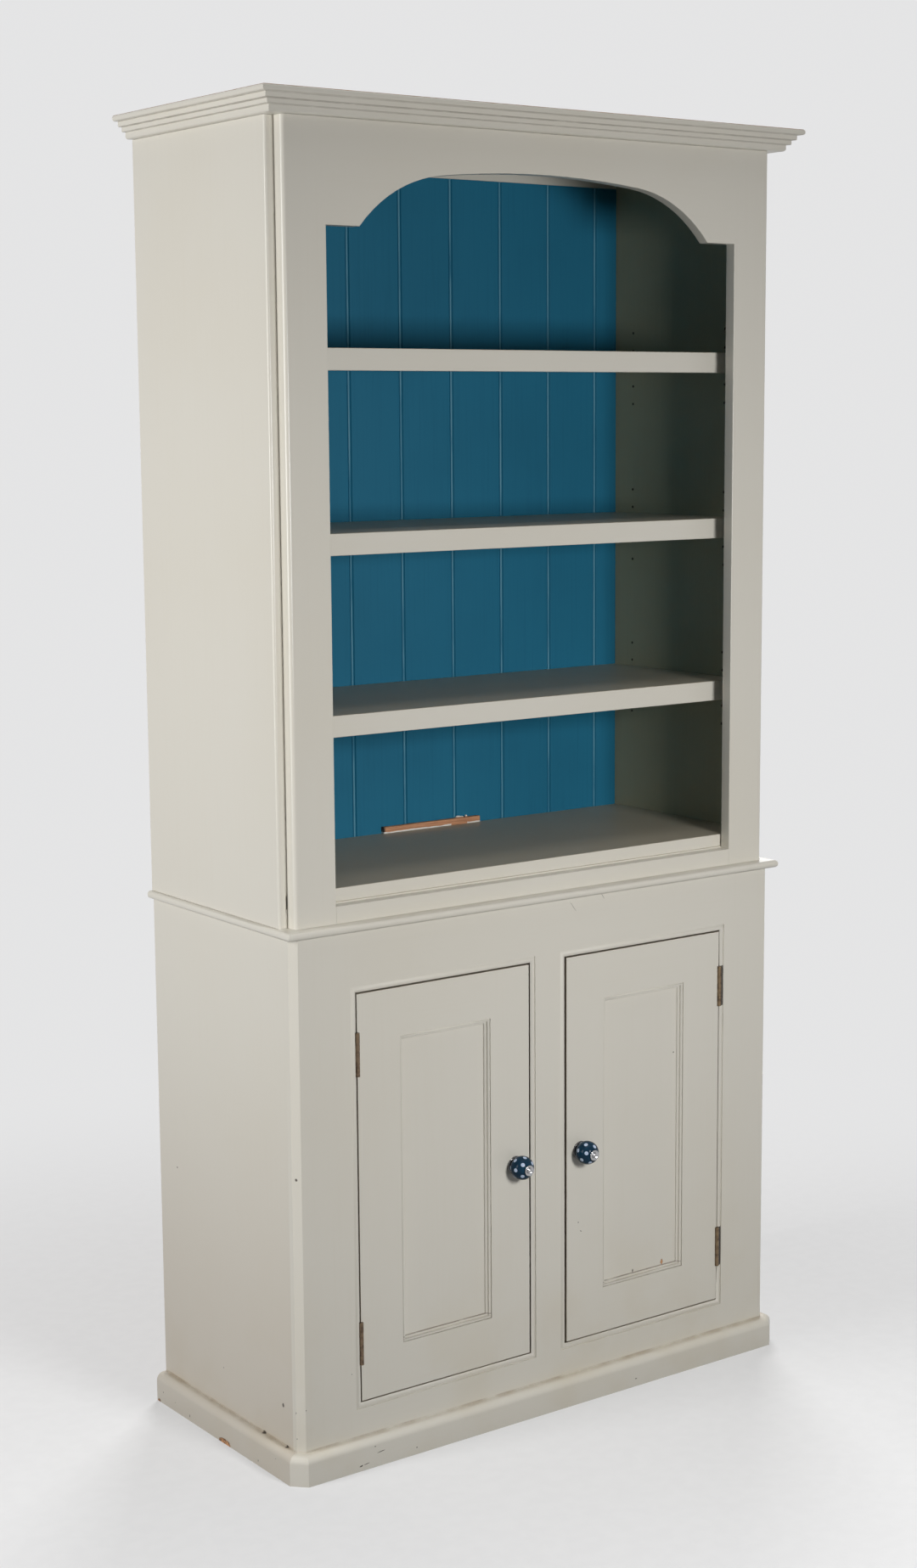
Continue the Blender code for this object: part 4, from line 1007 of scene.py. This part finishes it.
shape = bookcaseShape
for side in sides:
    node = "bookcase_side_" + side
    bm = joined(node)
    for face in bm.faces:
        across = abs(face.calc_center_median().x)
        if across < shape["inner"] - shape["pinClear"]:  # shelf pins
            face.material_index = 1
        elif near(across, shape["inner"]):
            face.material_index = 2
        elif across < upperOuter - shape["holeClear"] and face.calc_area() < shape["holeArea"]:
            face.material_index = 3  # inside the pin holes
    settle(node + "_painted", bm, [cream["up"], steel, olive, holeShade], [node], 40)

    bm = joined("bookcase_stile_" + side)
    for level in (railTop, archLow.z):
        everything = bm.verts[:] + bm.edges[:] + bm.faces[:]
        bmesh.ops.bisect_plane(bm, geom=everything, plane_co=(0, 0, level), plane_no=(0, 0, 1))
    ease(bm, shape["mouthEase"], mouthEdge)
    painted("bookcase_stile_" + side, bm, ["up"], 40, easedTo=(railTop, archLow.z))

dress("arched_frieze", ["across"], 30, glued=acrossJoints, eased=(shape["mouthEase"], archEdge))
dress("bookcase_bottom_rail", ["across"], eased=(shape["mouthEase"], railEdge))
# the upward faces take the darker cream of painted shade
for node in ("bookcase_floor", "bookcase_back_rail"):
    dress(node, ["across", "shadedLedge"], second=looksUp, eased=(shape["boardEase"], acrossEdge))
for node in ("shelf_lower", "shelf_middle", "shelf_upper"):
    dress(node, ["across", "shadedLedge"], second=looksUp, eased=(shape["shelfEase"], anyEdge))
bm = joined("bookcase_top")
secondFinish(bm, looksDown)
ease(bm, shape["boardEase"], anyEdge)
settle("bookcase_top_bare", bm, [topBoard, cream["across"]], ["bookcase_top"])
for side in sides:
    dress("cornice_" + side, ["corniceSide"], 40, glued=frontJoint)
dress("cornice_front", ["corniceFront"], 40, glued=acrossJoints)

# Matched boards: a round bead between two quirks at every joint
backLow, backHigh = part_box("bookcase_back")
thick = backHigh.y - backLow.y
bead, quirkDepth = boarding["bead"], boarding["quirkDepth"]
lip, lipDepth, beadFoot = boarding["lip"], boarding["lipDepth"], boarding["beadFoot"]
wide = bead + boarding["quirk"]
crown = list(reversed(sweep((0, 0), bead, quirkDepth, 6, 174, 10)))
section = [(backLow.x, 0.0)]
for step in range(-boarding["joints"], boarding["joints"] + 1):
    x = step * boarding["pitch"]
    section += [(x - wide - lip, 0.0), (x - wide, lipDepth), (x - bead - beadFoot, quirkDepth)]
    section += [(x + across, quirkDepth + boarding["drop"] - up) for across, up in crown]
    section += [(x + bead + beadFoot, quirkDepth), (x + wide, lipDepth), (x + wide + lip, 0.0)]
section += [(backHigh.x, 0.0), (backHigh.x, thick)]
mouth, foot, floorAt = boarding["rearMouth"], boarding["rearFoot"], thick - boarding["rearDepth"]
for step in range(boarding["joints"], -boarding["joints"] - 1, -1):  # open joints on the rough side
    x = step * boarding["pitch"] + boarding["rearShift"]
    section += [(x + mouth, thick), (x + foot, floorAt), (x - foot, floorAt), (x - mouth, thick)]
section.append((backLow.x, thick))
bm = bmesh.new()
outline = bm.faces.new([bm.verts.new((x, backLow.y + depth, backLow.z)) for x, depth in section])
grown = bmesh.ops.extrude_face_region(bm, geom=[outline])["geom"]
bmesh.ops.translate(bm, verts=vertsOf(grown), vec=(0, 0, backHigh.z - backLow.z))
bmesh.ops.recalc_face_normals(bm, faces=bm.faces)
roughFrom = backLow.y + thick * boarding["rearFrom"]
secondFinish(bm, lambda face: face.calc_center_median().y > roughFrom)
settle("bookcase_back_boards", bm, [teal, boards], ["bookcase_back"], 40)

# Batten: a rough sawn offcut with paint left along its foot and torn flakes on top
battenShape = {
    "shy": 0.0006,  # of the solid's top, to leave room for the waves
    "cuts": 22, "ease": 0.0006, "lengthFrom": 0.1,
    "waves": ((190, 0.0, 0.5), (431, 1.3, 0.3), (77, 0.0, 0.5)),  # pace, shift, share
    "topFrom": 0.005, "topWave": 0.00030, "topDrop": 0.0004,
    "frontTo": 0.004, "frontWave": 0.00035,
    # place along the batten, half width, height
    "flakes": ((0.790, 0.0075, 0.0032), (0.826, 0.0050, 0.0024), (0.872, 0.0028, 0.0034)),
    "flakeSunk": 0.0012, "flakeFront": 0.0040, "flakeBack": 0.0012, "flakeSoft": 0.0003,
    "taper": 0.45, "lean": 0.0006,
}
shape = battenShape
size = [battenHigh[axis] - battenLow[axis] for axis in range(3)]
middle = [battenLow[axis] + battenHigh[axis] for axis in range(3)]
size[heightAxis] -= shape["shy"]
middle[heightAxis] -= shape["shy"]
bm = bmesh.new()
bmesh.ops.create_cube(bm, size=1.0)
bmesh.ops.scale(bm, verts=bm.verts, vec=size)
bmesh.ops.translate(bm, verts=bm.verts, vec=[value / 2 for value in middle])
lengths = [edge for edge in bm.edges if abs(edge.verts[0].co.x - edge.verts[1].co.x) > shape["lengthFrom"]]
bmesh.ops.subdivide_edges(bm, edges=lengths, cuts=shape["cuts"], use_grid_fill=True)
ease(bm, shape["ease"], acrossEdge, 2)
for vert in bm.verts:
    wave = sum(math.sin(vert.co.x * pace + shift) * share for pace, shift, share in shape["waves"])
    if vert.co.z > battenLow.z + shape["topFrom"]:
        vert.co.z += wave * shape["topWave"] - shape["topDrop"]
    if vert.co.y < battenLow.y + shape["frontTo"]:
        vert.co.y += abs(wave) * shape["frontWave"]
foot = battenHigh.z - shape["flakeSunk"]
for place, wide, tall in shape["flakes"]:
    x = battenLow.x + (battenHigh.x - battenLow.x) * place
    low = (x - wide, battenHigh.y - shape["flakeFront"], foot)
    high = (x + wide, battenHigh.y - shape["flakeBack"], foot + tall)
    flake = plate(low, high, shape["flakeSoft"])
    for vert in flake.verts:
        if vert.co.z > foot + tall / 2:
            vert.co.x = x + (vert.co.x - x) * shape["taper"]
            vert.co.y += shape["lean"]
    addTo(bm, flake)
settle("back_batten_raw", bm, [rawBatten], ["back_batten"], 40)
nodes["door_catch"].material_slots[0].material = steel
print("bookcase dressed")


# Floor, background, lamps and camera
studio = {
    "pale": (0.780, 0.780, 0.785, 1.0),
    "floorDark": (0.770, 0.770, 0.775, 1.0),
    "floorLight": (0.790, 0.790, 0.795, 1.0),
    "floorBounce": (0.200, 0.200, 0.203, 1.0),
    "floorHalf": 40.0,
    "shadowShare": 0.60,  # how much of the floor takes shadows close to the part
    "shadowFade": (0.7, 2.1),
    "ambient": (0.035, 0.032, 0.028, 1.0),
}
lamps = {
    "front": {"at": (-0.10, -2.55, 1.50), "to": (0.45, -0.2, -0.35), "size": (0.55, 0.6), "power": 46.5},
    "top": {"at": (0.0, -0.5, 4.3), "to": (0.0, -0.3, 1.0), "size": (3.2, 1.8), "power": 22.0},
    "side": {"at": (-2.95, 0.10, 1.58), "to": (-0.5, 0.0, 1.25), "size": (0.75, 1.6), "power": 60.0},
    "rear": {"at": (2.3, 2.7, 2.9), "to": (0.2, 0.1, 1.0), "size": (1.6, 1.6), "power": 120.0},
}


def seenDirectly(spot):
    kinds = ("Is Camera Ray", "Is Glossy Ray", "Is Transmission Ray")
    rays = [spot.node("ShaderNodeLightPath", {}, {}, kind) for kind in kinds]
    return spot.sum("MAXIMUM", spot.sum("MAXIMUM", rays[0], rays[1]), rays[2])


bm = bmesh.new()
bmesh.ops.create_grid(bm, x_segments=1, y_segments=1, size=studio["floorHalf"])
floorMesh = bpy.data.meshes.new("studio_floor")
bm.to_mesh(floorMesh)
bm.free()
floor = bpy.data.objects.new("studio_floor", floorMesh)
bpy.context.scene.collection.objects.link(floor)
floorFinish, shader, spot = newFinish("pale_floor")
tree = floorFinish.node_tree
tree.nodes.remove(shader)
speckle = band(cloud(spot, 35.0, 4.0), 0.35, 0.65)
tone = blend(speckle, studio["floorDark"], studio["floorLight"])
lit = spot.node("ShaderNodeBsdfDiffuse", {}, {"Color": tone})
glow = spot.node("ShaderNodeEmission", {}, {"Color": studio["pale"], "Strength": 1.0})
bounce = spot.node("ShaderNodeBsdfDiffuse", {}, {"Color": studio["floorBounce"]})
close = 1 - band(spot.vector("LENGTH", output="Value"), *studio["shadowFade"])
pale = spot.node("ShaderNodeMixShader", {}, {0: studio["shadowShare"] * close, 1: glow, 2: lit})
whole = spot.node("ShaderNodeMixShader", {}, {0: seenDirectly(spot), 1: bounce, 2: pale})
tree.links.new(whole.socket, tree.nodes["Material Output"].inputs["Surface"])
floorMesh.materials.append(floorFinish)

world = bpy.data.worlds.new("studio")
world.use_nodes = True
bpy.context.scene.world = world
tree = world.node_tree
dim = tree.nodes["Background"]
dim.inputs["Color"].default_value = studio["ambient"]
start = Signal(tree, dim.outputs["Background"])
bright = start.node("ShaderNodeBackground", {}, {"Color": studio["pale"], "Strength": 1.0})
backdrop = start.node("ShaderNodeMixShader", {}, {0: seenDirectly(start), 1: start, 2: bright})
tree.links.new(backdrop.socket, tree.nodes["World Output"].inputs["Surface"])

for name, plan in lamps.items():
    lamp = bpy.data.lights.new(name + "_softbox", "AREA")
    lamp.shape = "RECTANGLE"
    lamp.size, lamp.size_y = plan["size"]
    lamp.energy = plan["power"]
    holder = bpy.data.objects.new(name + "_softbox", lamp)
    bpy.context.scene.collection.objects.link(holder)
    holder.location = plan["at"]
    aim = Vector(plan["to"]) - Vector(plan["at"])
    holder.rotation_euler = aim.to_track_quat("-Z", "Y").to_euler()

cameraPlan = {
    "at": (-2.43399, faceY - 3.10387, 1.67624),
    "turn": (81.399, 0.415, -36.043),
    "sensor": 36.0,
    "lens": 2857.28 * 36 / 1847,  # focal length in pixels over the picture's height
}
camera = bpy.data.objects.new("camera", bpy.data.cameras.new("camera"))
bpy.context.scene.collection.objects.link(camera)
camera.location = cameraPlan["at"]
camera.rotation_euler = [math.radians(angle) for angle in cameraPlan["turn"]]
camera.data.lens = cameraPlan["lens"]
camera.data.sensor_width = cameraPlan["sensor"]
bpy.context.scene.camera = camera
bpy.context.scene.view_settings.view_transform = "Standard"
print("studio ready")
